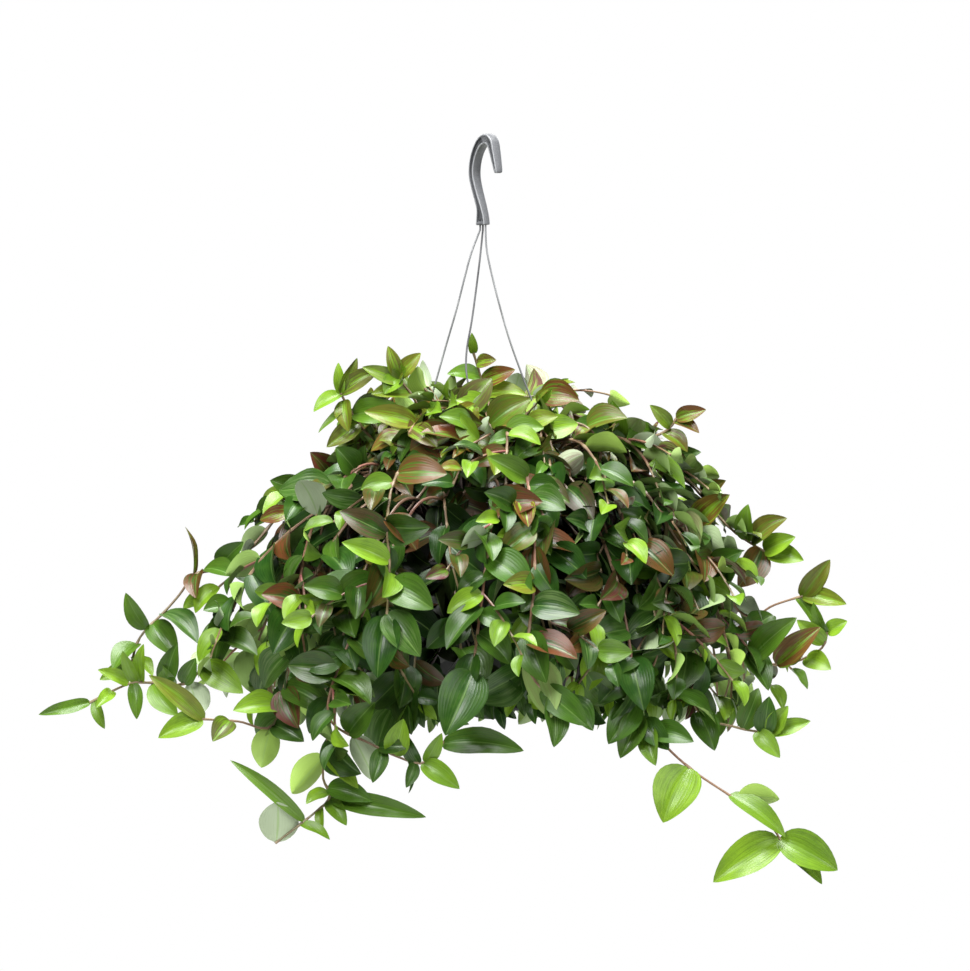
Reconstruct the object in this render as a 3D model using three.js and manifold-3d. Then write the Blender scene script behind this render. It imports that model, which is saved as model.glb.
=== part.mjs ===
// Hanging pot of trailing tradescantia: a plastic hook, three wires, a plastic pot filled with soil,
// and the leafy stems that stand in the soil, arch over the rim and trail below it.
// Millimetres, +Z up. The origin is where the hook's throat rests on what holds the part up.
// The front of the part faces -Y, and the rim of the pot is centred under the origin.

import * as THREE from 'three';
import { mergeVertices } from 'three/addons/utils/BufferGeometryUtils.js';
import Module from 'manifold-3d';

const wasm = await Module();
wasm.setup();

// Driving dimensions

const GAP = 0.3;

const HOOK_TURN = THREE.MathUtils.degToRad(-55);
const HOOK_RECESS_DEPTH = 2.3;
const HOOK_FLANGE = 1.3;
const HOOK_CORNER = 0.9;
const HOOK_FOOT_Z = -69;

const WIRE_RADIUS = 0.8;
const WIRE_SIDES = 5;
const WIRE_SOCKET_DEPTH = 9;
const WIRE_SPACING = 4;
const WIRE_TAIL_TURN = 4.5;
const WIRE_TAIL_DROP = 1.3;
const WIRE_TAIL_KINK = 0.4;
const WIRE_LEAD = 4;
const WIRE_RISE = 8;

const RIM_RADIUS = 95;
const RIM_Z = -331;
const RIM_FLANGE = 7;
const RIM_THICKNESS = 2;
const RIM_LIP = 1.4;
const POT_HEIGHT = 150;
const POT_TOP_RADIUS = 88;
const POT_BASE_RADIUS = 64;
const POT_WALL = 1.8;
const POT_FOOT_WIDTH = 7;
const POT_FOOT_HEIGHT = 3;
const POT_SEGMENTS = 28;
const HOLE_SIDES = 6;
const DRAIN_HOLES = 6;
const DRAIN_RADIUS = 5;
const DRAIN_CIRCLE = 46;

const SOIL_DEPTH_BELOW_RIM = 15;
const SOIL_DOME = 4;
const SOIL_SHOULDER_OUT = 0.6;
const SOIL_SHOULDER_UP = 0.75;
const SOIL_HOLE_RADIUS = 2.5;

const STEM_SIDES = 3;
const STEM_RADIUS = 1.5;
const STEM_TIP_RADIUS = 0.9;
const BLADE_THICKNESS = 1.4;
const BLADE_SUNK = 0.3;
const BLADE_FOLD = 0.24;
const BLADE_BOW = 0.09;
const BLADE_WIDEST = 0.38;
const BLADE_SHOULDER = 0.72;
const BLADE_SHOULDER_WIDTH = 0.72;
const LEAF_PITCH = 34;
const LEAF_STEP = 0.02;
const HEADING_STEP = 0.05;
const ROOTS_APART = 0.2;
const BENDS_APART = 0.05;
const SHOWN_CLEAR = 12;

// How the rule draws a leaf and a filling stem. A pair is the least value and how much a draw may add.
const LEAF_LENGTH = 34;
const HIGH_LEAF_Z = -200;
const LOW_LEAF_Z = -450;
const LOW_LEAF_GROWTH = 12;
const LOW_LEAF_DROOP = 0.35;
const LEAF_LENGTH_SPREAD = [0.76, 0.48];
const TIP_LEAF_SHRINK = 0.22;
const LEAF_AHEAD = [0.1, 0.8];
const LEAF_SIDEWAYS = 0.75;
const LEAF_OUTWARD = [-0.15, 0.6];
const LEAF_TURN = [-0.6, 1.3];
const LEAF_TILT = 1.2;
const LEAF_WIDTH = [0.58, 0.16];
const FILL_REACH = [0.94, 0.12];
const FILL_WOBBLE = [-7, 14];
const FILL_RISE = [-5, 10];
const MOUND_LEAN = 13;
const FILL_LEAVES_FROM = 2;
const FILL_SEED = 7001;
const FILL_SEED_STEP = 131;
const LEAF_SEED = 40009;
const LEAF_SEED_STEP = 977;
const FULL_OUT = 200;

// Solids: closed triangle meshes that can be joined and cut

function solidOf(geometry) {
  const bare = geometry.clone();
  bare.deleteAttribute('normal');
  bare.deleteAttribute('uv');
  const merged = mergeVertices(bare, 1e-4);
  return new wasm.Manifold(new wasm.Mesh({
    numProp: 3,
    vertProperties: new Float32Array(merged.attributes.position.array),
    triVerts: new Uint32Array(merged.index.array),
  }));
}

function geometryOf(solid) {
  const mesh = solid.getMesh();
  const geometry = new THREE.BufferGeometry();
  geometry.setAttribute('position', new THREE.BufferAttribute(mesh.vertProperties, 3));
  geometry.setIndex(new THREE.BufferAttribute(mesh.triVerts, 1));
  geometry.computeVertexNormals();
  return geometry;
}

// The largest of the loose bodies that a cut or a join may leave.
function mainBody(solid) {
  const bodies = solid.decompose();
  return bodies.reduce((best, body) => (body.volume() > best.volume() ? body : best));
}

// A closed skin over a row of rings with the same number of points, fanned shut at both ends.
function loft(rings) {
  const sides = rings[0].length;
  const positions = rings.flat().flatMap((point) => point.toArray());
  const index = [];
  for (let row = 0; row < rings.length - 1; row += 1) {
    for (let side = 0; side < sides; side += 1) {
      const a = row * sides + side;
      const b = row * sides + (side + 1) % sides;
      index.push(a, b, b + sides, a, b + sides, a + sides);
    }
  }
  const last = (rings.length - 1) * sides;
  for (let side = 1; side < sides - 1; side += 1) {
    index.push(0, side + 1, side);
    index.push(last, last + side, last + side + 1);
  }
  const geometry = new THREE.BufferGeometry();
  geometry.setAttribute('position', new THREE.Float32BufferAttribute(positions, 3));
  geometry.setIndex(index);
  return geometry;
}

// Any direction that no bar runs along, from which the first ring of each is turned.
const FIRST_ACROSS = new THREE.Vector3(0.31, 0.87, 0.2);

// A round bar through the points, its radius running evenly from one end to the other.
function bar(points, firstRadius, lastRadius, sides) {
  const rings = [];
  let across = FIRST_ACROSS;
  points.forEach((point, i) => {
    const before = points[Math.max(i - 1, 0)];
    const after = points[Math.min(i + 1, points.length - 1)];
    const along = after.clone().sub(before).normalize();
    across = across.clone().addScaledVector(along, -across.dot(along)).normalize();
    const other = along.clone().cross(across);
    const radius = THREE.MathUtils.lerp(firstRadius, lastRadius, i / (points.length - 1));
    const ring = [];
    for (let side = 0; side < sides; side += 1) {
      const angle = (2 * Math.PI * side) / sides;
      ring.push(point.clone()
        .addScaledVector(across, radius * Math.cos(angle))
        .addScaledVector(other, radius * Math.sin(angle)));
    }
    rings.push(ring);
  });
  return loft(rings);
}

function polar(radius, degrees, z) {
  const angle = THREE.MathUtils.degToRad(degrees);
  return new THREE.Vector3(radius * Math.cos(angle), radius * Math.sin(angle), z);
}

function uprightRod(centre, radius, bottom, top, sides) {
  const ends = [bottom, top].map((z) => new THREE.Vector3(centre.x, centre.y, z));
  return solidOf(bar(ends, radius, radius, sides));
}

// Hook: a bar of I section bent in one upright plane. Each station is the middle of the bar in that
// plane (across, up), its thickness in the plane and its width square to it.

const HOOK_STATIONS = [
  [-6.1, HOOK_FOOT_Z, 12.7, 6.4],
  [-6.4, -62, 10.6, 6.5],
  [-7.6, -55, 7.6, 6.9],
  [-10.4, -48, 6.6, 7.4],
  [-15.2, -37, 6.4, 8.0],
  [-18.2, -27, 6.6, 8.5],
  [-17.6, -17, 6.8, 8.6],
  [-13.6, -7, 7.2, 8.6],
  [-6.8, 1, 7.8, 8.6],
  [1.6, 4.2, 8.4, 8.6],
  [8.2, 1, 7.6, 8.6],
  [11.4, -6.5, 6.2, 8.4],
  [14.2, -15.5, 5.0, 7.8],
  [16.2, -22.6, 4.2, 7.0],
  [16.7, -25, 3.2, 6.2],
];

function hookPoint(across, up, square) {
  return new THREE.Vector3(across, square, up).applyAxisAngle(new THREE.Vector3(0, 0, 1), HOOK_TURN);
}

function hookRing(stations, i, thickness, low, high, corner) {
  const before = stations[Math.max(i - 1, 0)];
  const after = stations[Math.min(i + 1, stations.length - 1)];
  const along = new THREE.Vector2(after[0] - before[0], after[1] - before[1]).normalize();
  const [across, up] = stations[i];
  const half = thickness / 2;
  const outline = [
    [-half, low + corner], [-half, high - corner], [-half + corner, high], [half - corner, high],
    [half, high - corner], [half, low + corner], [half - corner, low], [-half + corner, low],
  ];
  return outline.map(([side, square]) => hookPoint(across - along.y * side, up + along.x * side, square));
}

function hookBar() {
  return solidOf(loft(HOOK_STATIONS.map(([, , thickness, width], i) => (
    hookRing(HOOK_STATIONS, i, thickness, -width / 2, width / 2, HOOK_CORNER)))));
}

// The dished channel on one side of the bar, between two stations.
function hookRecess(first, last, side) {
  const stations = HOOK_STATIONS.slice(first, last + 1);
  return solidOf(loft(stations.map(([, , thickness, width], i) => {
    const floor = width / 2 - HOOK_RECESS_DEPTH;
    const range = side > 0 ? [floor, width] : [-width, -floor];
    return hookRing(stations, i, thickness - 2 * HOOK_FLANGE, range[0], range[1], HOOK_CORNER / 3);
  })));
}

function wireSocket({ socket }) {
  const [footAcross] = HOOK_STATIONS[0];
  return hookPoint(footAcross + socket * WIRE_SPACING, HOOK_FOOT_Z, 0);
}

function makeHook() {
  let hook = hookBar();
  const channels = [[1, 8], [10, 13]];
  channels.forEach(([first, last]) => {
    hook = hook.subtract(hookRecess(first, last, 1)).subtract(hookRecess(first, last, -1));
  });
  WIRES.forEach((wire) => {
    const top = HOOK_FOOT_Z + WIRE_SOCKET_DEPTH;
    const bottom = HOOK_FOOT_Z - WIRE_LEAD;
    hook = hook.subtract(uprightRod(wireSocket(wire), WIRE_RADIUS + GAP, bottom, top, WIRE_SIDES));
  });
  return mainBody(hook);
}

// Wires: from their sockets in the hook's foot, through their waypoints, down through the rim and bent
// under it. A wire has the angle of its hole in the rim and its place in the row of sockets.

const WIRE_HOLE_CIRCLE = (POT_TOP_RADIUS + RIM_RADIUS - RIM_LIP) / 2;
const WIRES = [
  {
    angle: 150,
    socket: -1,
    waypoints: [[-13.4, 10, -93], [-19.6, 13, -116], [-26, 17, -141], [-35, 22, -172], [-43.5, 26, -202],
      [-51.5, 31, -230]],
  },
  {
    angle: -93,
    socket: 0,
    waypoints: [[-6.5, -6, -102], [-12.5, -24, -148], [-17, -36, -174], [-17.5, -46, -194],
      [-13.5, -57, -218], [-9.5, -70, -254]],
  },
  {
    angle: 27,
    socket: 1,
    waypoints: [[0.2, 3, -93], [7.7, 6, -126], [18, 11, -163], [28.5, 16, -193], [40, 22, -223],
      [52, 28, -254]],
  },
];

function wireRoute(wire) {
  const { angle, waypoints } = wire;
  const top = wireSocket(wire);
  const foot = polar(WIRE_HOLE_CIRCLE, angle, RIM_Z);
  const tailZ = RIM_Z - RIM_THICKNESS - GAP - WIRE_TAIL_DROP;
  return [
    top.clone().setZ(HOOK_FOOT_Z + WIRE_SOCKET_DEPTH - GAP),
    top.clone().setZ(HOOK_FOOT_Z - WIRE_LEAD),
    ...waypoints.map((point) => new THREE.Vector3(...point)),
    foot.clone().setZ(RIM_Z + WIRE_RISE),
    foot.clone().setZ(tailZ + WIRE_TAIL_KINK),
    polar(WIRE_HOLE_CIRCLE, angle + WIRE_TAIL_TURN, tailZ),
  ];
}

function makeWire(wire) {
  return solidOf(bar(wireRoute(wire), WIRE_RADIUS, WIRE_RADIUS, WIRE_SIDES));
}

// Pot: a thin tapered shell with a flat rim, a base with drain holes and three holes for the wires.

const POT_BASE_Z = RIM_Z - POT_HEIGHT;
const POT_FLOOR_Z = POT_BASE_Z + POT_FOOT_HEIGHT + POT_WALL;

function makePot() {
  const profile = [
    [0, POT_BASE_Z + POT_FOOT_HEIGHT],
    [POT_BASE_RADIUS - POT_FOOT_WIDTH - POT_FOOT_HEIGHT, POT_BASE_Z + POT_FOOT_HEIGHT],
    [POT_BASE_RADIUS - POT_FOOT_WIDTH, POT_BASE_Z],
    [POT_BASE_RADIUS, POT_BASE_Z],
    [POT_TOP_RADIUS, RIM_Z - RIM_THICKNESS],
    [RIM_RADIUS - RIM_LIP, RIM_Z - RIM_THICKNESS],
    [RIM_RADIUS - RIM_LIP, RIM_Z - RIM_FLANGE],
    [RIM_RADIUS, RIM_Z - RIM_FLANGE],
    [RIM_RADIUS, RIM_Z],
    [POT_TOP_RADIUS - POT_WALL, RIM_Z],
    [POT_BASE_RADIUS - POT_WALL, POT_FLOOR_Z],
    [0, POT_FLOOR_Z],
  ];
  const shell = new THREE.LatheGeometry(profile.map(([r, z]) => new THREE.Vector2(r, z)), POT_SEGMENTS);
  shell.rotateX(Math.PI / 2);
  let pot = solidOf(shell);
  for (let i = 0; i < DRAIN_HOLES; i += 1) {
    const centre = polar(DRAIN_CIRCLE, (360 * i) / DRAIN_HOLES, 0);
    pot = pot.subtract(uprightRod(centre, DRAIN_RADIUS, POT_BASE_Z, POT_FLOOR_Z + GAP, HOLE_SIDES));
  }
  WIRES.forEach(({ angle }) => {
    const centre = polar(WIRE_HOLE_CIRCLE, angle, 0);
    const bottom = RIM_Z - 2 * RIM_THICKNESS;
    pot = pot.subtract(uprightRod(centre, WIRE_RADIUS + 1.5 * GAP, bottom, RIM_Z + GAP, HOLE_SIDES));
  });
  return pot;
}

// Soil: fills the pot to a little under the rim, with a plain hole for each stem.

const SOIL_TOP_Z = RIM_Z - SOIL_DEPTH_BELOW_RIM;

function makeSoil(stems) {
  const floorZ = POT_FLOOR_Z + GAP;
  const slope = (POT_TOP_RADIUS - POT_BASE_RADIUS) / (RIM_Z - POT_FLOOR_Z);
  const inside = (z) => POT_BASE_RADIUS - POT_WALL + slope * (z - floorZ) - 2 * GAP;
  const profile = [
    [0, floorZ],
    [inside(floorZ), floorZ],
    [inside(SOIL_TOP_Z), SOIL_TOP_Z],
    [inside(SOIL_TOP_Z) * SOIL_SHOULDER_OUT, SOIL_TOP_Z + SOIL_DOME * SOIL_SHOULDER_UP],
    [0, SOIL_TOP_Z + SOIL_DOME],
  ];
  const mound = new THREE.LatheGeometry(profile.map(([r, z]) => new THREE.Vector2(r, z)), POT_SEGMENTS);
  mound.rotateX(Math.PI / 2);
  let soil = solidOf(mound);
  stems.forEach((stem) => {
    const [root, next] = stem.points;
    const deeper = root.clone().addScaledVector(next.clone().sub(root).normalize(), -GAP);
    soil = soil.subtract(solidOf(bar([deeper, next], SOIL_HOLE_RADIUS, SOIL_HOLE_RADIUS, 4)));
  });
  return mainBody(soil);
}

// Foliage. A stem is a smooth curve through its waypoints, in millimetres from the origin, and a place
// on it is given in waypoints from its root: 2.5 is half way between the third and the fourth.

// A seeded row of draws between 0 and 1, the same on every run.
function draws(seed) {
  let state = seed;
  return () => {
    state = (state * 16807) % 2147483647;
    return state / 2147483647;
  };
}

// A value drawn from a pair: its least value and how much the draw may add to it.
function drawn([least, more], draw) {
  return least + more * draw();
}

function along(route, place) {
  const i = Math.min(Math.floor(place), route.length - 2);
  const t = place - i;
  const p0 = route[Math.max(i - 1, 0)];
  const p1 = route[i];
  const p2 = route[i + 1];
  const p3 = route[Math.min(i + 2, route.length - 1)];
  const mix = (k) => 0.5 * (2 * p1[k] + (p2[k] - p0[k]) * t
    + (2 * p0[k] - 5 * p1[k] + 4 * p2[k] - p3[k]) * t * t
    + (3 * p1[k] - p0[k] - 3 * p2[k] + p3[k]) * t * t * t);
  return new THREE.Vector3(mix(0), mix(1), mix(2));
}

function heading(route, place) {
  const end = route.length - 1;
  const before = along(route, Math.max(place - HEADING_STEP, 0));
  const after = along(route, Math.min(place + HEADING_STEP, end));
  return after.sub(before).normalize();
}

const MOUND_CENTRE = new THREE.Vector3(0, 0, -440);
const MOUND_REACH = 260;
const FROM_AXIS = 0.75;
const TO_LIGHT = new THREE.Vector3(0, 0, 0.12);

// The way a leaf at this point turns its upper face: out of the mound, from its axis and to the light.
function outward(point) {
  const fromAxis = new THREE.Vector3(point.x, point.y, 0).normalize();
  return point.clone().sub(MOUND_CENTRE).multiplyScalar(1 / MOUND_REACH)
    .addScaledVector(fromAxis, FROM_AXIS)
    .add(TO_LIGHT)
    .normalize();
}

// A face turned at random, by up to half the amount along each axis.
function tilted(face, amount, draw) {
  const [x, y, z] = [draw() - 0.5, draw() - 0.5, draw() - 0.5];
  return face.clone().addScaledVector(new THREE.Vector3(x, y, z), amount).normalize();
}

// A folded, arched leaf blade as a closed solid, thickest along its rib. Its root is sunk past the middle
// of the stem, its outline is widest a third of the way along and still broad at the shoulder, and its
// edges stand higher than the rib.
function bladeSolid(leaf, thickness) {
  const chord = leaf.tip.clone().sub(leaf.base);
  const length = chord.length();
  const ahead = chord.normalize();
  const up = leaf.face.clone().addScaledVector(ahead, -leaf.face.dot(ahead)).normalize();
  const side = ahead.clone().cross(up);
  const place = (t, across, lift) => {
    const bow = length * BLADE_BOW * 4 * t * (1 - t);
    const fold = Math.abs(across) * leaf.width * BLADE_FOLD;
    return leaf.base.clone()
      .addScaledVector(ahead, length * t)
      .addScaledVector(side, (across * leaf.width) / 2)
      .addScaledVector(up, bow + fold + lift);
  };
  const points = [
    place(-BLADE_SUNK / length, 0, 0), place(1, 0, 0),
    place(BLADE_WIDEST, -1, 0), place(BLADE_WIDEST, 1, 0),
    place(BLADE_SHOULDER, -BLADE_SHOULDER_WIDTH, 0), place(BLADE_SHOULDER, BLADE_SHOULDER_WIDTH, 0),
    place(BLADE_WIDEST, 0, thickness / 2), place(BLADE_SHOULDER, 0, thickness / 2),
    place(BLADE_WIDEST, 0, -thickness / 2), place(BLADE_SHOULDER, 0, -thickness / 2),
  ];
  const upperFaces = [
    [0, 3, 6], [0, 6, 2], [6, 4, 2], [6, 7, 4], [6, 5, 7], [6, 3, 5], [5, 1, 7], [7, 1, 4],
  ];
  const below = (k) => (k === 6 || k === 7 ? k + 2 : k);
  const index = upperFaces.flatMap(([a, b, c]) => [a, b, c, below(a), below(c), below(b)]);
  const geometry = new THREE.BufferGeometry();
  const positions = points.flatMap((point) => point.toArray());
  geometry.setAttribute('position', new THREE.Float32BufferAttribute(positions, 3));
  geometry.setIndex(index);
  return solidOf(geometry);
}

// Leading stems: the ones that give the plant its outline, each with its waypoints, the stretch where
// the rule grows its leaves and the leaves that show best. A shown leaf has its place on the stem, its
// tip, its width and the way its upper face turns.

const FRONT = [0, -1, 0.35];
const EDGE_ON = [0.9, -0.35, 0.3];
const LEAN_LEFT = [-0.5, -0.8, 0.4];
const LEAN_RIGHT = [0.5, -0.8, 0.4];
const UNDERSIDE = [0.1, 0.9, 0.5];

const LEADING_STEMS = [
  {
    name: 'stem_left_upper',
    route: [[-52, -14, -358], [-58, -16, -318], [-104, -21, -280], [-160, -27, -300], [-202, -31, -345],
      [-229, -33, -361], [-248, -35, -366], [-260, -37, -382], [-273, -39, -397], [-294, -42, -419],
      [-302, -44, -444]],
    leafy: [2.2, 4.2],
    shown: [
      [6.1, [-256, -42, -325], 12, EDGE_ON],
      [8.1, [-245, -66, -424], 27, LEAN_RIGHT],
      [8.7, [-306, -54, -381], 17, LEAN_LEFT],
      [9.2, [-316, -64, -447], 24, LEAN_LEFT],
      [9.95, [-328, -54, -455], 14, FRONT],
      [9.6, [-283, -62, -452], 15, LEAN_RIGHT],
      [5.8, [-246, -60, -386], 20, LEAN_LEFT],
      [4.4, [-184, -46, -377], 25, FRONT],
      [2.5, [-150, -44, -262], 24, FRONT],
      [3.0, [-184, -46, -286], 24, FRONT],
      [4.9, [-206, -52, -338], 20, FRONT],
      [8.5, [-262, -62, -436], 24, FRONT],
    ],
  },
  {
    name: 'stem_left_low',
    route: [[-60, -32, -358], [-68, -38, -318], [-125, -60, -304], [-190, -72, -352], [-228, -80, -420],
      [-252, -84, -456], [-285, -88, -457], [-303, -90, -458], [-336, -92, -474]],
    leafy: [2.2, 4.6],
    shown: [
      [5.0, [-246, -106, -487], 26, UNDERSIDE],
      [5.9, [-261, -104, -485], 21, LEAN_LEFT],
      [4.2, [-238, -100, -444], 25, UNDERSIDE],
      [7.0, [-329, -98, -446], 12, FRONT],
      [7.97, [-379, -98, -484], 12, FRONT],
      [7.8, [-323, -98, -496], 11, LEAN_LEFT],
      [7.4, [-330, -112, -478], 12, FRONT],
      [3.6, [-240, -88, -396], 22, LEAN_LEFT],
      [3.85, [-237, -94, -416], 20, FRONT],
      [5.4, [-276, -96, -441], 15, LEAN_LEFT],
      [5.15, [-246, -94, -436], 16, FRONT],
      [3.2, [-180, -92, -404], 24, FRONT],
      [4.0, [-194, -100, -434], 26, LEAN_RIGHT],
      [4.5, [-206, -100, -466], 26, FRONT],
    ],
  },
  {
    name: 'stem_left_front',
    route: [[-43, -47, -358], [-52, -60, -318], [-98, -106, -304], [-142, -140, -360], [-166, -152, -440],
      [-180, -156, -492], [-210, -156, -489], [-240, -156, -487]],
    leafy: [2.2, 5.0],
    shown: [
      [6.9, [-285, -160, -450], 17, LEAN_LEFT],
      [6.98, [-277, -164, -503], 21, FRONT],
      [6.2, [-231, -172, -506], 20, FRONT],
      [5.1, [-190, -166, -528], 24, UNDERSIDE],
      [4.6, [-214, -168, -480], 24, LEAN_LEFT],
      [5.0, [-154, -170, -506], 22, FRONT],
    ],
  },
  {
    name: 'stem_bottom_left',
    route: [[-26, -60, -358], [-35, -77, -318], [-72, -142, -304], [-106, -186, -370], [-126, -197, -440],
      [-133, -199, -496], [-138, -199, -534], [-132, -199, -552], [-148, -202, -568], [-178, -206, -591]],
    leafy: [2.2, 5.2],
    shown: [
      [5.4, [-108, -214, -545], 17, FRONT],
      [5.5, [-164, -218, -549], 25, UNDERSIDE],
      [6.5, [-96, -214, -556], 20, FRONT],
      [7.1, [-51, -214, -569], 20, FRONT],
      [8.2, [-216, -208, -521], 13, FRONT],
      [8.95, [-176, -216, -556], 34, UNDERSIDE],
      [7.6, [-138, -208, -582], 9, LEAN_LEFT],
      [6.8, [-152, -214, -558], 16, LEAN_LEFT],
      [7.2, [-118, -214, -576], 15, FRONT],
      [4.5, [-152, -214, -498], 26, FRONT],
    ],
  },
  {
    name: 'stem_bottom_middle',
    route: [[-8, -63, -358], [-15, -84, -318], [-56, -164, -304], [-96, -206, -380], [-128, -216, -452],
      [-131, -217, -488], [-98, -219, -507], [-67, -221, -521], [-50, -221, -522], [-36, -221, -505]],
    leafy: [2.2, 5.4],
    shown: [
      [7.7, [-23, -230, -545], 19, FRONT],
      [8.8, [31, -232, -513], 24, FRONT],
      [6.6, [-70, -232, -486], 22, FRONT],
      [7.0, [-66, -224, -549], 9, EDGE_ON],
      [5.6, [-112, -228, -541], 24, UNDERSIDE],
      [6.2, [-64, -230, -509], 14, FRONT],
      [5.5, [-94, -232, -472], 26, FRONT],
      [6.3, [-96, -232, -540], 16, FRONT],
      [7.3, [-68, -230, -544], 12, LEAN_RIGHT],
      [4.1, [-94, -232, -468], 26, LEAN_RIGHT],
    ],
  },
  {
    name: 'stem_bottom_right',
    route: [[31, -52, -358], [38, -68, -318], [78, -124, -304], [106, -154, -360], [120, -166, -424],
      [126, -170, -478], [146, -174, -505], [173, -178, -530], [207, -182, -553], [237, -186, -575],
      [247, -188, -589]],
    leafy: [2.2, 5.4],
    shown: [
      [5.3, [153, -186, -513], 22, FRONT],
      [6.9, [148, -194, -574], 40, FRONT],
      [7.9, [251, -196, -586], 22, LEAN_RIGHT],
      [9.9, [190, -198, -624], 33, FRONT],
      [9.8, [295, -192, -614], 32, FRONT],
      [9.95, [282, -178, -626], 22, LEAN_RIGHT],
      [4.4, [94, -184, -474], 28, FRONT],
      [4.9, [102, -186, -508], 28, FRONT],
      [5.7, [174, -190, -506], 22, FRONT],
      [3.8, [88, -184, -420], 28, FRONT],
    ],
  },
  {
    name: 'stem_right_low',
    route: [[47, -34, -358], [56, -42, -318], [108, -82, -300], [152, -112, -360], [168, -122, -430],
      [178, -126, -481], [209, -130, -494], [241, -132, -500]],
    leafy: [2.2, 5.2],
    shown: [
      [6.9, [273, -136, -489], 15, FRONT],
      [6.5, [247, -142, -520], 17, FRONT],
      [6.2, [229, -134, -461], 20, FRONT],
      [4.6, [156, -142, -490], 26, LEAN_LEFT],
      [5.0, [192, -142, -514], 24, FRONT],
      [6.7, [238, -142, -468], 20, FRONT],
    ],
  },
  {
    name: 'stem_right_side',
    route: [[60, -20, -358], [68, -23, -318], [122, -40, -290], [180, -55, -345], [204, -60, -405],
      [216, -62, -431], [248, -65, -442], [281, -67, -430],
      [288, -68, -414]],
    leafy: [2.2, 5.2],
    shown: [
      [6.6, [291, -84, -446], 19, FRONT],
      [6.2, [272, -70, -421], 14, FRONT],
      [7.95, [305, -74, -405], 15, FRONT],
      [7.9, [276, -78, -389], 11, LEAN_LEFT],
      [5.3, [262, -88, -402], 25, FRONT],
      [5.9, [282, -80, -410], 23, FRONT],
      [4.9, [238, -82, -464], 26, LEAN_RIGHT],
      [3.3, [216, -76, -346], 22, FRONT],
    ],
  },
  {
    name: 'stem_far_right',
    route: [[63, -4, -358], [71, -5, -315], [126, -9, -278], [178, -13, -325], [206, -16, -386],
      [224, -18, -402], [243, -19, -392], [268, -20, -384]],
    leafy: [2.2, 5.2],
    shown: [
      [6.9, [291, -28, -353], 19, LEAN_RIGHT],
      [6.97, [305, -27, -391], 17, FRONT],
      [6.7, [282, -30, -418], 15, LEAN_RIGHT],
      [3.0, [206, -32, -298], 24, FRONT],
      [3.7, [214, -36, -350], 22, FRONT],
    ],
  },
  {
    name: 'stem_right_upper',
    route: [[58, 12, -358], [64, 13, -312], [112, 16, -264], [166, 17, -284], [206, 14, -326],
      [240, 9, -349]],
    leafy: [1.6, 4.4],
    shown: [
      [4.5, [255, 0, -318], 22, LEAN_LEFT],
      [4.95, [269, -4, -354], 19, FRONT],
      [3.4, [203, -8, -286], 17, FRONT],
      [4.4, [222, 2, -306], 20, LEAN_LEFT],
      [4.7, [213, -2, -377], 27, LEAN_RIGHT],
      [2.6, [182, -6, -262], 20, FRONT],
    ],
  },
  {
    name: 'stem_top_right',
    route: [[42, 0, -358], [48, -1, -312], [84, -4, -258], [130, -8, -252], [152, -10, -244],
      [161, -12, -233]],
    leafy: [1.6, 4.6],
    shown: [
      [4.9, [186, -16, -226], 15, FRONT],
      [3.8, [170, -18, -262], 17, LEAN_RIGHT],
      [2.0, [86, -22, -234], 22, FRONT],
      [2.5, [106, -26, -218], 22, FRONT],
    ],
  },
  {
    name: 'stem_top_left',
    route: [[-30, -9, -358], [-36, -14, -300], [-48, -24, -250], [-60, -32, -220], [-76, -38, -198]],
    leafy: [1.4, 3.7],
    shown: [
      [3.95, [-56, -42, -178], 15, FRONT],
      [3.7, [-106, -44, -190], 15, FRONT],
      [3.9, [-87, -48, -213], 17, FRONT],
      [3.3, [-98, -46, -213], 19, LEAN_LEFT],
    ],
  },
  {
    name: 'stem_top_far_left',
    route: [[-45, -3, -358], [-54, -7, -300], [-82, -16, -266], [-100, -25, -248], [-114, -30, -230],
      [-124, -34, -212]],
    leafy: [1.6, 4.4],
    shown: [
      [4.9, [-147, -40, -228], 15, LEAN_LEFT],
      [4.95, [-90, -38, -192], 17, FRONT],
      [4.3, [-143, -42, -246], 8, LEAN_LEFT],
      [4.6, [-117, -44, -245], 17, LEAN_LEFT],
      [4.97, [-126, -38, -186], 10, FRONT],
      [4.0, [-67, -48, -229], 24, FRONT],
    ],
  },
  {
    name: 'stem_top_middle',
    route: [[-6, -16, -358], [-4, -17, -300], [-2, -19, -250], [-3, -22, -210], [-12, -25, -176]],
    leafy: [1.8, 3.5],
    shown: [
      [3.9, [-20, -30, -158], 9, FRONT],
      [3.6, [8, -34, -184], 13, FRONT],
    ],
  },
  {
    name: 'stem_front_middle',
    route: [[7, -66, -358], [7, -82, -318], [6, -144, -292], [2, -202, -336], [-6, -232, -398],
      [-12, -240, -450], [-12, -240, -476]],
    leafy: [1.8, 4.9],
    shown: [
      [4.9, [-35, -262, -500], 41, FRONT],
      [3.0, [-22, -226, -342], 24, UNDERSIDE],
    ],
  },
  {
    name: 'stem_front_left',
    route: [[-18, -42, -358], [-27, -62, -312], [-60, -132, -270], [-78, -192, -286], [-84, -216, -322],
      [-82, -226, -354], [-84, -234, -400]],
    leafy: [2.0, 5.4],
    shown: [
      [4.3, [-124, -222, -312], 24, FRONT],
      [5.0, [-122, -238, -338], 20, FRONT],
      [5.4, [-45, -246, -394], 32, FRONT],
    ],
  },
  {
    name: 'stem_front_far_left',
    route: [[-38, -29, -358], [-49, -40, -310], [-98, -84, -272], [-140, -130, -310], [-158, -158, -375],
      [-152, -172, -440]],
    leafy: [2.0, 4.9],
    shown: [
      [4.2, [-190, -170, -382], 24, FRONT],
      [4.9, [-100, -192, -468], 28, FRONT],
      [2.3, [-128, -112, -258], 24, FRONT],
    ],
  },
  {
    name: 'stem_front_right',
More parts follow.
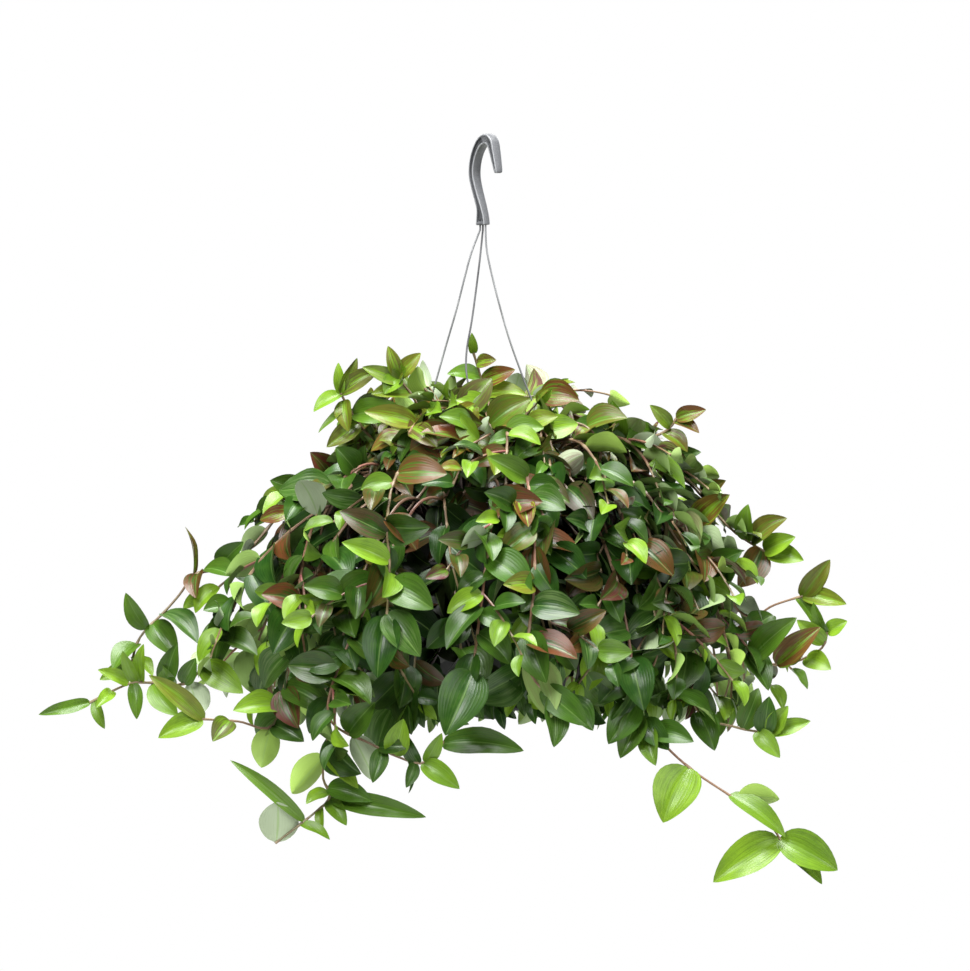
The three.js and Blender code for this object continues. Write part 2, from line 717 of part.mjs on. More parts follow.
    route: [[17, -45, -358], [21, -60, -312], [30, -126, -276], [38, -186, -312], [40, -216, -370],
      [34, -230, -440], [54, -230, -468]],
    leafy: [1.8, 4.9],
    shown: [
      [4.9, [54, -246, -485], 34, UNDERSIDE],
      [2.4, [0, -172, -266], 22, FRONT],
      [4.3, [78, -234, -398], 28, FRONT],
      [4.7, [76, -246, -436], 28, LEAN_RIGHT],
      [5.6, [84, -240, -492], 26, FRONT],
      [5.95, [56, -244, -510], 24, LEAN_RIGHT],
    ],
  },
  {
    name: 'stem_crown_left',
    route: [[-26, -25, -358], [-33, -36, -300], [-46, -56, -258], [-58, -78, -238], [-66, -102, -246]],
    leafy: [1.4, 3.8],
    shown: [
      [3.2, [-104, -92, -228], 20, FRONT],
      [3.6, [-42, -116, -258], 20, FRONT],
    ],
  },
];

// Filling stems: spread round the pot by a rule. Each rises from its hole and then follows the mound's
// outline, over the crown, down the skirt or close in front of the pot, in the plane of its own angle.
// The mound leans a little to the right, so a point moves that way the further out it is.

const CROWN = [[0, -358], [3, -300], [14, -240], [38, -210], [70, -210], [98, -236]];
const CAP = [[0, -358], [3, -305], [14, -262], [40, -240], [74, -242], [102, -264]];
const SHOULDER = [[0, -358], [6, -306], [36, -264], [88, -250], [130, -284], [162, -330], [186, -380]];
const SKIRT = [[0, -358], [8, -312], [54, -284], [112, -290], [166, -332], [202, -382], [224, -432],
  [224, -472]];
const APRON = [[0, -358], [6, -318], [34, -304], [64, -326], [84, -372], [92, -424], [92, -472]];
const FILL_SHAPES = {
  crown: { rootCircle: 26, rows: CROWN },
  cap: { rootCircle: 30, rows: CAP },
  shoulder: { rootCircle: 46, rows: SHOULDER },
  skirt: { rootCircle: 66, rows: SKIRT },
  apron: { rootCircle: 72, rows: APRON },
};
const FILLING_STEMS = [
  [2, 'shoulder'], [14, 'cap'], [22, 'skirt'], [33, 'shoulder'], [42, 'skirt'], [51, 'crown'],
  [60, 'skirt'], [-68, 'apron'], [78, 'skirt'], [87, 'crown'], [96, 'skirt'], [-111, 'apron'],
  [114, 'skirt'], [123, 'crown'], [132, 'skirt'], [-42, 'apron'], [153, 'skirt'], [161, 'crown'],
  [170, 'shoulder'], [178, 'skirt'], [-171, 'crown'], [-160, 'skirt'], [-109, 'cap'],
  [-85, 'shoulder'], [-78, 'skirt'], [-62, 'cap'], [-50, 'shoulder'], [-47, 'skirt'], [-26, 'skirt'],
  [-33, 'cap'], [-11, 'shoulder'], [-141, 'cap'], [69, 'shoulder'], [105, 'shoulder'], [-16, 'apron'],
];

function fillingStem([angle, kind], i) {
  const draw = draws(FILL_SEED + FILL_SEED_STEP * i);
  const { rootCircle, rows } = FILL_SHAPES[kind];
  const reach = drawn(FILL_REACH, draw);
  const route = rows.map(([out, z], row) => {
    const radius = rootCircle + Math.max(out * reach - rootCircle * Math.min(out / FULL_OUT, 1), 0);
    const wobble = row > 2 ? drawn(FILL_WOBBLE, draw) : 0;
    const rise = row > 1 ? drawn(FILL_RISE, draw) : 0;
    const point = polar(radius, angle + THREE.MathUtils.radToDeg(wobble / radius), z + rise);
    return [point.x + (MOUND_LEAN * out) / FULL_OUT, point.y, point.z];
  });
  const name = `stem_${kind}_${String(i + 1).padStart(2, '0')}`;
  return { name, route, leafy: [FILL_LEAVES_FROM, rows.length - 1], shown: [] };
}

// What a leaf tries in turn where it would cross another piece: turned about the stem, lifted from it
// and made smaller.
const LEAF_TRIES = [
  [0, 0, 1], [0, 0.35, 1], [0.4, 0.15, 1], [-0.4, 0.15, 1], [0.3, 0.6, 0.92], [-0.3, 0.6, 0.92],
  [0, -0.35, 0.9], [0.7, 0.3, 0.85], [-0.7, 0.3, 0.85], [0, 1, 0.8],
];

function triedLeaf(leaf, [turn, lift, size]) {
  const chord = leaf.tip.clone().sub(leaf.base);
  const length = chord.length();
  const side = chord.clone().cross(leaf.face).normalize();
  const ahead = chord.normalize().addScaledVector(side, turn).addScaledVector(leaf.face, lift).normalize();
  return {
    ...leaf,
    tip: leaf.base.clone().addScaledVector(ahead, length * size),
    width: leaf.width * size,
  };
}

// The places on a stem where its leaves grow, about one pitch apart.
function leafPlaces({ route, leafy }) {
  const [from, to] = leafy;
  const places = [];
  let travelled = 0;
  let last = along(route, from);
  for (let place = from; place <= to; place += LEAF_STEP) {
    const point = along(route, place);
    travelled += point.distanceTo(last);
    last = point;
    if (travelled >= LEAF_PITCH) {
      travelled = 0;
      places.push(place);
    }
  }
  return places;
}

// The stem's own bar: straight lengths that bend between the roots of the leaves, so that a leaf grows
// from the middle of a length.
function skeletonOf(stem, roots) {
  const end = stem.route.length - 1;
  const sorted = [...roots].sort((a, b) => a - b);
  const between = sorted.slice(1).filter((root, k) => root - sorted[k] > ROOTS_APART).map((root) => {
    const before = sorted[sorted.indexOf(root) - 1];
    return (root + before) / 2;
  });
  const bare = [...Array(Math.floor(stem.leafy[0]) + 1).keys()];
  const places = [...bare, ...between, end].sort((a, b) => a - b);
  const apart = places.filter((place, k) => k === 0 || place - places[k - 1] > BENDS_APART);
  return { places: apart, points: apart.map((place) => along(stem.route, place)) };
}

function rootPoint(skeleton, place) {
  const { places, points } = skeleton;
  const next = Math.max(places.findIndex((other) => other > place), 1);
  const t = (place - places[next - 1]) / (places[next] - places[next - 1]);
  return points[next - 1].clone().lerp(points[next], t);
}

function ruledLeaf(stem, base, place, i, draw) {
  const { route } = stem;
  const ahead = heading(route, place);
  const out = outward(base);
  const side = ahead.clone().cross(out).normalize().multiplyScalar(i % 2 ? 1 : -1);
  const low = THREE.MathUtils.smoothstep(-base.z, -HIGH_LEAF_Z, -LOW_LEAF_Z);
  const tipward = (place / (route.length - 1)) ** 3;
  const grown = (LEAF_LENGTH + LOW_LEAF_GROWTH * low) * (1 - TIP_LEAF_SHRINK * tipward);
  const length = grown * drawn(LEAF_LENGTH_SPREAD, draw);
  const way = ahead.multiplyScalar(drawn(LEAF_AHEAD, draw))
    .addScaledVector(side, LEAF_SIDEWAYS)
    .addScaledVector(out, drawn(LEAF_OUTWARD, draw))
    .add(new THREE.Vector3(0, 0, -LOW_LEAF_DROOP * low))
    .normalize();
  const turned = out.clone().addScaledVector(side, drawn(LEAF_TURN, draw)).normalize();
  const face = tilted(turned, LEAF_TILT, draw);
  const width = length * drawn(LEAF_WIDTH, draw);
  return { base, tip: base.clone().addScaledVector(way, length), width, face };
}

function shownLeaf(base, [, tip, width, face]) {
  return { base, tip: new THREE.Vector3(...tip), width, face: new THREE.Vector3(...face).normalize() };
}

// A stem with its bar and the leaves that it would have if nothing stood in their way. A leaf that the
// rule would grow too close to one of the shown leaves is left out.
function sproutedStem(stem, i) {
  const draw = draws(LEAF_SEED + LEAF_SEED_STEP * i);
  const shownPlaces = stem.shown.map(([place]) => place);
  const taken = shownPlaces.map((place) => along(stem.route, place));
  const ruledPlaces = leafPlaces(stem).filter((place) => {
    const point = along(stem.route, place);
    return taken.every((other) => other.distanceTo(point) > SHOWN_CLEAR);
  });
  const skeleton = skeletonOf(stem, [...shownPlaces, ...ruledPlaces]);
  const rootOf = (place) => rootPoint(skeleton, place);
  const shown = stem.shown.map((row) => shownLeaf(rootOf(row[0]), row));
  const ruled = ruledPlaces.map((place, k) => ruledLeaf(stem, rootOf(place), place, k, draw));
  return { ...stem, points: skeleton.points, leaves: [...shown, ...ruled] };
}

function boxesMeet(a, b) {
  return [0, 1, 2].every((k) => a.min[k] < b.max[k] && b.min[k] < a.max[k]);
}

function crosses(solid, taken) {
  const box = solid.boundingBox();
  return taken.some((other) => {
    if (!boxesMeet(box, other.box)) return false;
    const shared = solid.intersect(other.solid);
    const overlap = !shared.isEmpty();
    shared.delete();
    return overlap;
  });
}

function growFoliage(taken) {
  const fillers = FILLING_STEMS.map(fillingStem);
  const stems = [...LEADING_STEMS, ...fillers].map(sproutedStem);
  stems.forEach((stem) => {
    stem.solid = solidOf(bar(stem.points, STEM_RADIUS, STEM_TIP_RADIUS, STEM_SIDES));
    const guard = solidOf(bar(stem.points, STEM_RADIUS + GAP, STEM_TIP_RADIUS + GAP, STEM_SIDES));
    stem.guard = { solid: guard, box: guard.boundingBox(), stem: stem.name };
  });
  const grown = [...taken, ...stems.map((stem) => stem.guard)];
  stems.forEach((stem) => {
    const others = grown.filter((other) => other.stem !== stem.name);
    stem.leaves.forEach((leaf) => {
      const tries = LEAF_TRIES.map((step) => triedLeaf(leaf, step));
      const clear = (candidate) => !crosses(bladeSolid(candidate, BLADE_THICKNESS + 2 * GAP), others);
      const fitted = tries.find(clear);
      if (!fitted) return;
      const blade = bladeSolid(fitted, BLADE_THICKNESS);
      stem.solid = stem.solid.add(blade);
      grown.push({ solid: blade, box: blade.boundingBox(), stem: stem.name });
    });
    stem.solid = mainBody(stem.solid);
  });
  return stems;
}

// Assembly

const COLOURS = {
  hook: { color: 0x7f8285, roughness: 0.45, metalness: 0 },
  wire: { color: 0x8b8e90, roughness: 0.35, metalness: 0.8 },
  pot: { color: 0x1d1c1d, roughness: 0.4, metalness: 0 },
  soil: { color: 0x2c2018, roughness: 0.95, metalness: 0 },
  leafy: { color: 0x4f7f2c, roughness: 0.4, metalness: 0 },
};

const group = new THREE.Group();

function addPiece(name, solid, look) {
  const mesh = new THREE.Mesh(geometryOf(solid), new THREE.MeshStandardMaterial(COLOURS[look]));
  mesh.name = name;
  group.add(mesh);
}

const hook = makeHook();
const wires = WIRES.map(makeWire);
const pot = makePot();
const firm = [pot, ...wires].map((solid) => ({ solid, box: solid.boundingBox() }));
const stems = growFoliage(firm);

addPiece('hook', hook, 'hook');
wires.forEach((wire, i) => addPiece(`wire_${i + 1}`, wire, 'wire'));
addPiece('pot', pot, 'pot');
addPiece('soil', makeSoil(stems), 'soil');
stems.forEach((stem) => addPiece(stem.name, stem.solid, 'leafy'));

export default group;
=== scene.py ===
import math
import random
from collections import namedtuple
from functools import reduce

import bpy
import numpy as np
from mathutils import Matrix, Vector
from mathutils.bvhtree import BVHTree


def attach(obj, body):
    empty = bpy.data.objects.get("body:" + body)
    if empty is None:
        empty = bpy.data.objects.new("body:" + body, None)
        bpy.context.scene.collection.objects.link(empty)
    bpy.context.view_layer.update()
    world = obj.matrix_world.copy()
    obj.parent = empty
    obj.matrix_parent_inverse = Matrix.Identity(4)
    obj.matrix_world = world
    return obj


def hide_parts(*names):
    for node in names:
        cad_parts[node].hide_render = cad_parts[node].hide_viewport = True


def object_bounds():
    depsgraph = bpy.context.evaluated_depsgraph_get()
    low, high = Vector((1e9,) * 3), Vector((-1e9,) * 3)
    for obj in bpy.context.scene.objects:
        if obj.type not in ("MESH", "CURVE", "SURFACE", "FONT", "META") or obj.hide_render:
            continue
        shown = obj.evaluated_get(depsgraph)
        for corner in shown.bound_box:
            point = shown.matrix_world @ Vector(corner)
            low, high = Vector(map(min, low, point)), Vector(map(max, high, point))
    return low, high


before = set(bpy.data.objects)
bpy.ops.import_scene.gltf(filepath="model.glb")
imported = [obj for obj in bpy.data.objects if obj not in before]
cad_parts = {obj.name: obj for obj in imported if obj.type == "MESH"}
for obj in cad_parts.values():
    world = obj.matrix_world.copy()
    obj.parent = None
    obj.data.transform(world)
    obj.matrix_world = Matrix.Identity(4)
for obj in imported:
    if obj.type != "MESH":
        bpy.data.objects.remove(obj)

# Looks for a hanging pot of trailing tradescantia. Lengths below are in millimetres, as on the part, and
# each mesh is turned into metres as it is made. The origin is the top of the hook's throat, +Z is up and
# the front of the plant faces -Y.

CAD_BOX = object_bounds()
MM = 0.001

# Camera: level with the middle of the plant and a long way off, so that what is near isn't enlarged.
# These values are in metres, and the sensor's width in millimetres.
CAMERA_DISTANCE = 20.0
VIEW_CENTRE = (-0.0017, -0.2903)
VIEW_WIDTH = 0.8245
SENSOR = 36.0
LEVEL = math.radians(90)


def make_camera():
    camera = bpy.data.objects.new("camera", bpy.data.cameras.new("camera"))
    bpy.context.collection.objects.link(camera)
    camera.location = (VIEW_CENTRE[0], -CAMERA_DISTANCE, VIEW_CENTRE[1])
    camera.rotation_euler = (LEVEL, 0, 0)
    camera.data.sensor_width = SENSOR
    camera.data.lens = SENSOR * CAMERA_DISTANCE / VIEW_WIDTH
    bpy.context.scene.camera = camera


make_camera()

# The part's own sizes, as in its source.
GAP = 0.3
HOOK_TURN = math.radians(-55)
HOOK_FOOT_Z = -69.0
HOOK_RECESS_DEPTH = 2.3
HOOK_FLANGE = 1.3
WIRE_RADIUS = 0.8
WIRE_SOCKET_DEPTH = 9.0
WIRE_SPACING = 4.0
WIRE_TAIL_TURN = 4.5
WIRE_TAIL_KINK = 0.4
WIRE_LEAD = 4.0
WIRE_RISE = 8.0
RIM_RADIUS = 95.0
RIM_Z = -331.0
RIM_FLANGE = 7.0
RIM_THICKNESS = 2.0
RIM_LIP = 1.4
POT_HEIGHT = 150.0
POT_BASE_Z = RIM_Z - POT_HEIGHT
POT_TOP_RADIUS = 88.0
POT_BASE_RADIUS = 64.0
POT_WALL = 1.8
POT_FOOT_HEIGHT = 3
SOIL_DEPTH_BELOW_RIM = 15
STEM_RADIUS = 1.5
STEM_TIP_RADIUS = 0.9
BLADE_FOLD = 0.24
BLADE_BOW = 0.09
BLADE_WIDEST = 0.38
LEAF_PITCH = 34
LEAF_STEP = 0.02
HEADING_STEP = 0.05
ROOTS_APART = 0.2
BENDS_APART = 0.05
SHOWN_CLEAR = 12

# How the part's rule draws a leaf and a filling stem, also as in its source. A pair is the least value and
# how much a draw may add.
LEAF_LENGTH = 34
HIGH_LEAF_Z = -200
LOW_LEAF_Z = -450
LOW_LEAF_GROWTH = 12
LOW_LEAF_DROOP = 0.35
LEAF_LENGTH_SPREAD = (0.76, 0.48)
TIP_LEAF_SHRINK = 0.22
TIPWARD_POWER = 3
LEAF_AHEAD = (0.1, 0.8)
LEAF_SIDEWAYS = 0.75
LEAF_OUTWARD = (-0.15, 0.6)
LEAF_TURN = (-0.6, 1.3)
LEAF_TILT = 1.2
LEAF_WIDTH = (0.58, 0.16)
FILL_REACH = (0.94, 0.12)
FILL_WOBBLE = (-7, 14)
FILL_RISE = (-5, 10)
FIRST_WOBBLE_ROW = 3
FIRST_RISE_ROW = 2
MOUND_LEAN = 13
FILL_LEAVES_FROM = 2
FILL_SEED = 7001
FILL_SEED_STEP = 131
LEAF_SEED = 40009
LEAF_SEED_STEP = 977
DRAW_FACTOR = 16807
DRAW_MODULUS = 2147483647
FULL_OUT = 200
MOUND_CENTRE = np.array((0.0, 0.0, -440.0))
MOUND_REACH = 260
FROM_AXIS = 0.75
TO_LIGHT = np.array((0.0, 0.0, 0.12))


def unit(vector):
    return vector / (np.linalg.norm(vector) or 1.0)


def polar(radius, degrees, z):
    angle = math.radians(degrees)
    return np.array((radius * math.cos(angle), radius * math.sin(angle), z))


def share(value, low, high):
    """How far a value has come from the low end to the high one, from 0 to 1."""
    return min(max((value - low) / (high - low), 0), 1)


def arch(t):
    """A bow that is 0 at both ends and 1 half way."""
    return 4 * t * (1 - t)


def smooth_row(rows, place):
    """A value on the smooth curve through the rows, at a place counted in rows."""
    i = min(int(math.floor(place)), len(rows) - 2)
    t = place - i
    last = len(rows) - 1
    p0, p1, p2, p3 = (np.asarray(rows[min(max(k, 0), last)], dtype=float) for k in range(i - 1, i + 3))
    return 0.5 * (2 * p1 + (p2 - p0) * t + (2 * p0 - 5 * p1 + 4 * p2 - p3) * t * t
                  + (3 * p1 - p0 - 3 * p2 + p3) * t * t * t)


# Meshes. An edge is shaded smooth up to its piece's angle, in degrees.
LEAF_SMOOTH = 50
HOOK_SMOOTH = 38
POT_SMOOTH = 35
SOIL_SMOOTH = 180
FIRST_ACROSS = np.array((0.31, 0.87, 0.2))


def add_mesh(name, points, faces, materials, replaces=(), picks=None, smooth_angle=LEAF_SMOOTH):
    """A piece from its points in millimetres and its faces, with a material number for each face."""
    mesh = bpy.data.meshes.new(name)
    mesh.from_pydata([tuple(p) for p in np.asarray(points) * MM], [], faces)
    for material in materials:
        mesh.materials.append(material)
    if picks is not None:
        mesh.polygons.foreach_set("material_index", picks)
    mesh.polygons.foreach_set("use_smooth", [True] * len(mesh.polygons))
    mesh.set_sharp_from_angle(angle=math.radians(smooth_angle))
    mesh.update()
    piece = bpy.data.objects.new(name, mesh)
    bpy.context.collection.objects.link(piece)
    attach(piece, "root")
    if replaces:
        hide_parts(*replaces)
    return piece


def add_values(piece, name, values):
    """Three values for each point of a mesh, for its material to read."""
    layer = piece.data.attributes.new(name, "FLOAT_VECTOR", "POINT")
    layer.data.foreach_set("vector", np.asarray(values, dtype=np.float32).ravel())


class Build:
    """Points, faces, material numbers and per-point values of one piece, gathered as it grows."""

    def __init__(self):
        self.points = []
        self.faces = []
        self.picks = []
        self.looks = []
        self.places = []

    def add(self, points, faces, picks, looks, places):
        first = len(self.points)
        self.points.extend(points)
        self.faces.extend(tuple(first + k for k in face) for face in faces)
        self.picks.extend(picks)
        self.looks.extend(looks)
        self.places.extend(places)

    def finish(self, name, materials, slot, replaces=()):
        piece = add_mesh(name, self.points, self.faces, materials, replaces, self.picks)
        add_values(piece, "look", self.looks)
        add_values(piece, "place", self.places)


def tube(points, radii, sides):
    """Rings round a row of points, with the faces of a closed bar."""
    rings = []
    across = FIRST_ACROSS
    last = len(points) - 1
    for i, point in enumerate(points):
        along_it = unit(points[min(i + 1, last)] - points[max(i - 1, 0)])
        across = unit(across - along_it * across.dot(along_it))
        other = np.cross(along_it, across)
        for side in range(sides):
            angle = 2 * math.pi * side / sides
            rings.append(point + radii[i] * (across * math.cos(angle) + other * math.sin(angle)))
    return rings, bar_faces(len(points), sides)


def bar_faces(rows, sides):
    faces = []
    for row in range(rows - 1):
        for side in range(sides):
            a = row * sides + side
            b = row * sides + (side + 1) % sides
            faces.append((a, b, b + sides, a + sides))
    faces.append(tuple(range(sides - 1, -1, -1)))
    faces.append(tuple((rows - 1) * sides + side for side in range(sides)))
    return faces


def lathe(profile, segments):
    """A closed profile of radii and heights, turned round the pot's axis."""
    points = []
    for radius, z in profile:
        for k in range(segments):
            points.append(polar(radius, 360 * k / segments, z))
    rows = len(profile)
    faces = []
    for row in range(rows):
        following = (row + 1) % rows
        for k in range(segments):
            after = (k + 1) % segments
            faces.append((row * segments + k, row * segments + after,
                          following * segments + after, following * segments + k))
    return points, faces


# Materials. A span is where a look starts and where it is full, and then how strong it is at these two:
# from 0 to 1 where the span doesn't say. A tint is the value that it follows, its span and its shade. A
# noise is its scale, its detail and its roughness, and a bump is its strength and its height in metres.
# The mix node's colours have no names of their own, so they go by their places among its sockets.
PLAIN_SPECULAR = 0.5
MIX_FIRST = 6
MIX_SECOND = 7
MIX_RESULT = 2


class Nodes:
    """Short calls for building one material's node tree."""

    def __init__(self, name):
        self.material = bpy.data.materials.new(name)
        self.material.use_nodes = True
        self.tree = self.material.node_tree

    def put(self, socket, value):
        if isinstance(value, bpy.types.NodeSocket):
            self.tree.links.new(value, socket)
        else:
            socket.default_value = value

    def split(self, name):
        """The three values that a mesh holds under a name."""
        attribute = self.tree.nodes.new("ShaderNodeAttribute")
        attribute.attribute_name = name
        node = self.tree.nodes.new("ShaderNodeSeparateXYZ")
        self.put(node.inputs[0], attribute.outputs["Vector"])
        return node.outputs[:]

    def join(self, x, y, z):
        node = self.tree.nodes.new("ShaderNodeCombineXYZ")
        for socket, value in zip(node.inputs, (x, y, z)):
            self.put(socket, value)
        return node.outputs[0]

    def math(self, operation, *values):
        node = self.tree.nodes.new("ShaderNodeMath")
        node.operation = operation
        for socket, value in zip(node.inputs, values):
            self.put(socket, value)
        return node.outputs[0]

    def times(self, *values):
        return reduce(lambda a, b: self.math("MULTIPLY", a, b), values)

    def plus(self, *values):
        return reduce(lambda a, b: self.math("ADD", a, b), values)

    def noise(self, vector, look):
        node = self.tree.nodes.new("ShaderNodeTexNoise")
        self.put(node.inputs["Vector"], vector)
        for name, value in zip(("Scale", "Detail", "Roughness"), look):
            self.put(node.inputs[name], value)
        return node.outputs["Fac"]

    def object_place(self):
        return self.tree.nodes.new("ShaderNodeTexCoord").outputs["Object"]

    def ramp(self, value, span):
        node = self.tree.nodes.new("ShaderNodeMapRange")
        node.interpolation_type = "SMOOTHSTEP"
        self.put(node.inputs["Value"], value)
        for name, amount in zip(("From Min", "From Max", "To Min", "To Max"), span):
            self.put(node.inputs[name], amount)
        return node.outputs["Result"]

    def mix(self, factor, a, b):
        node = self.tree.nodes.new("ShaderNodeMix")
        node.data_type = "RGBA"
        self.put(node.inputs["Factor"], factor)
        for place, value in ((MIX_FIRST, a), (MIX_SECOND, b)):
            self.put(node.inputs[place], (*value, 1.0) if isinstance(value, tuple) else value)
        return node.outputs[MIX_RESULT]

    def tinted(self, colour, tints, **values):
        """A colour that turns to each tint's shade, one after another, as its value crosses its span."""
        for name, span, shade in tints:
            colour = self.mix(self.ramp(values[name], span), colour, shade)
        return colour

    def finish(self, colour, roughness, height, bump, specular=PLAIN_SPECULAR):
        node = self.tree.nodes.new("ShaderNodeBump")
        for name, value in (("Height", height), ("Strength", bump[0]), ("Distance", bump[1])):
            self.put(node.inputs[name], value)
        shader = self.tree.nodes["Principled BSDF"]
        for name, value in (("Base Color", colour), ("Roughness", roughness),
                            ("Specular IOR Level", specular), ("Normal", node.outputs[0])):
            self.put(shader.inputs[name], value)
        return self.material


# Leaf looks: the "look" values are how fresh (below zero: painted shade deep inside the mass), how
# bronze and how mottled a leaf is, and the "place" values are how far across (from -1 to 1) and how far
# along (from 0 to 1) a point lies on its leaf, with a number that differs from leaf to leaf.
# Painted shade: the near-black that leaves deep inside the mass turn to, also the dark of the fine streaks.
SHADE_AND_STREAK_GREEN = (0.003, 0.009, 0.002)
DEEP_GREEN = (0.01, 0.045, 0.004)
MID_GREEN = (0.052, 0.13, 0.009)
FRESH_GREEN = (0.168, 0.305, 0.016)
RIB_GREEN = (0.2, 0.32, 0.09)
BRONZE = (0.118, 0.031, 0.012)
PURPLE = (0.055, 0.008, 0.016)
# Silver streaks: partly the leaves' own silvering and partly a painted sheen.
SILVER_AND_SHEEN_GREEN = (0.17, 0.26, 0.09)
UNDER_GREEN = (0.17, 0.27, 0.07)
UNDER_FRESH = (0.26, 0.4, 0.07)
UNDER_SILVER = (0.33, 0.4, 0.26)
UNDER_PURPLE = (0.13, 0.03, 0.045)

# Streaks run along the veins, and each kind has its scales along and across the leaf.
VEINS = 7
STREAK_NOISE = (1.0, 2.0, 0.5)
STREAKS_APART = 37.0
BROAD_STREAKS = (1.6, 9.0)
FINE_STREAKS = (2.6, 26.0)
UNDER_STREAKS = (2.0, 6.0)

# Below a freshness of zero a leaf lies deep inside the mass and its green runs into painted shade.
UPPER_GREENS = (
    ("fresh", (-0.6, 0.0), DEEP_GREEN),
    ("fresh", (0.0, 0.5), MID_GREEN),
    ("fresh", (0.4, 0.85), FRESH_GREEN),
)
UPPER_TINTS = (
    ("lines", (0.4, 0.65, 0.0, 0.3), SHADE_AND_STREAK_GREEN),
    ("edge", (0.01, 0.06, 0.3, 0.0), RIB_GREEN),
    ("veins", (0.0, 0.28, 0.05, 0.0), RIB_GREEN),
)
BLOTCH_NOISE = (95.0, 3.0, 0.5)
BLOTCHES = (0.35, 0.75, 0.0, 0.3)
BLOTCHES_BY_FRESH = (-0.4, 0.1)
SILVER_AND_SHEEN_BY_STREAK = (0.42, 0.68)
SILVER_AND_SHEEN_BY_MOTTLE = (0.7, 1.0, 0.02, 0.4)
SILVER_AND_SHEEN_BY_FRESH = (-0.3, 0.1)
FLUSH_BY_EDGE = (0.05, 0.6, 0.1, 0.55)
FLUSH_BY_TIP = (0.1, 0.9, 0.0, 0.35)
FLUSH_BY_STREAK = (0.34, 0.62, -0.4, 0.6)
FLUSH_BY_ALL = (0.1, 0.9, 0.1, 1.0)
PURPLE_BY_MOTTLE = (0.55, 0.9)
UPPER_ROUGHNESS = (0.2, 0.8, 0.27, 0.33)
UPPER_SPECULAR = 0.25
VEIN_HEIGHT = (0.0, 1.0)
RIB_HEIGHT = (0.0, 0.15)
STREAK_HEIGHT = 0.4
UPPER_BUMP = (0.14, 0.0004)

# Below a freshness of zero an underside lies deep inside the mass and is painted darker: painted shade.
UNDER_GREENS = (
    ("fresh", (-0.6, 0.0), UNDER_GREEN),
    ("fresh", (0.0, 0.8), UNDER_FRESH),
)
UNDER_TINTS = (
    ("edge", (0.02, 0.08, 0.55, 0.0), RIB_GREEN),
    ("veins", (0.0, 0.3, 0.2, 0.0), SILVER_AND_SHEEN_GREEN),
)
UNDER_SILVER_BY_MOTTLE = (0.6, 0.8)
UNDER_SILVER_BY_FRESH = (-0.2, 0.2)
UNDER_FLUSH = (0.45, 0.95)
UNDER_FLUSH_BY_STREAK = (0.35, 0.6, 0.15, 1.0)
UNDER_ROUGHNESS = (0.2, 0.8, 0.42, 0.62)
UNDER_SPECULAR = 0.2
UNDER_VEIN_HEIGHT = (0.0, 0.5)
UNDER_BUMP = (0.3, 0.0004)


def leaf_streaks(nodes, scales):
    along_scale, across_scale = scales
    across, along_it, number = nodes.split("place")
    vector = nodes.join(nodes.times(across, across_scale), nodes.times(along_it, along_scale),
                        nodes.times(number, STREAKS_APART))
    return nodes.noise(vector, STREAK_NOISE)


def leaf_place(nodes):
    """How far out from its rib and how far along its leaf a point lies."""
    across, along_it = nodes.split("place")[:2]
    return nodes.math("ABSOLUTE", across), along_it


def leaf_veins(nodes, edge):
    return nodes.math("ABSOLUTE", nodes.math("COSINE", nodes.times(edge, math.pi * VEINS)))


def leaf_green(nodes, fresh, mottled, blotches, streaks):
    green = nodes.tinted(SHADE_AND_STREAK_GREEN, UPPER_GREENS, fresh=fresh)
    patches = nodes.times(nodes.ramp(blotches, BLOTCHES), nodes.ramp(fresh, BLOTCHES_BY_FRESH))
    green = nodes.mix(patches, green, MID_GREEN)
    # Silver streaks on some leaves: partly their own silvering and partly a painted sheen.
    silver = nodes.times(nodes.ramp(streaks, SILVER_AND_SHEEN_BY_STREAK), nodes.ramp(mottled, SILVER_AND_SHEEN_BY_MOTTLE),
                         nodes.ramp(fresh, SILVER_AND_SHEEN_BY_FRESH))
    return nodes.mix(silver, green, SILVER_AND_SHEEN_GREEN)


def leaf_flush(nodes, bronze, edge, along_it, streaks):
    """How bronze a place is: most at the edges and towards the tip, in streaks along the veins."""
    total = nodes.plus(nodes.ramp(edge, FLUSH_BY_EDGE), nodes.ramp(along_it, FLUSH_BY_TIP),
                       nodes.ramp(streaks, FLUSH_BY_STREAK))
    return nodes.times(bronze, nodes.ramp(total, FLUSH_BY_ALL))


def upper_leaf_material():
    nodes = Nodes("leaf_upper")
    fresh, bronze, mottled = nodes.split("look")
    edge, along_it = leaf_place(nodes)
    veins = leaf_veins(nodes, edge)
    streaks = leaf_streaks(nodes, BROAD_STREAKS)
    lines = leaf_streaks(nodes, FINE_STREAKS)
    blotches = nodes.noise(nodes.object_place(), BLOTCH_NOISE)
    green = leaf_green(nodes, fresh, mottled, blotches, streaks)
    red = nodes.mix(nodes.ramp(mottled, PURPLE_BY_MOTTLE), BRONZE, PURPLE)
    colour = nodes.mix(leaf_flush(nodes, bronze, edge, along_it, streaks), green, red)
    colour = nodes.tinted(colour, UPPER_TINTS, lines=lines, edge=edge, veins=veins)
    height = nodes.plus(nodes.ramp(veins, VEIN_HEIGHT), nodes.ramp(edge, RIB_HEIGHT),
                        nodes.times(streaks, STREAK_HEIGHT))
    return nodes.finish(colour, nodes.ramp(blotches, UPPER_ROUGHNESS), height, UPPER_BUMP, UPPER_SPECULAR)


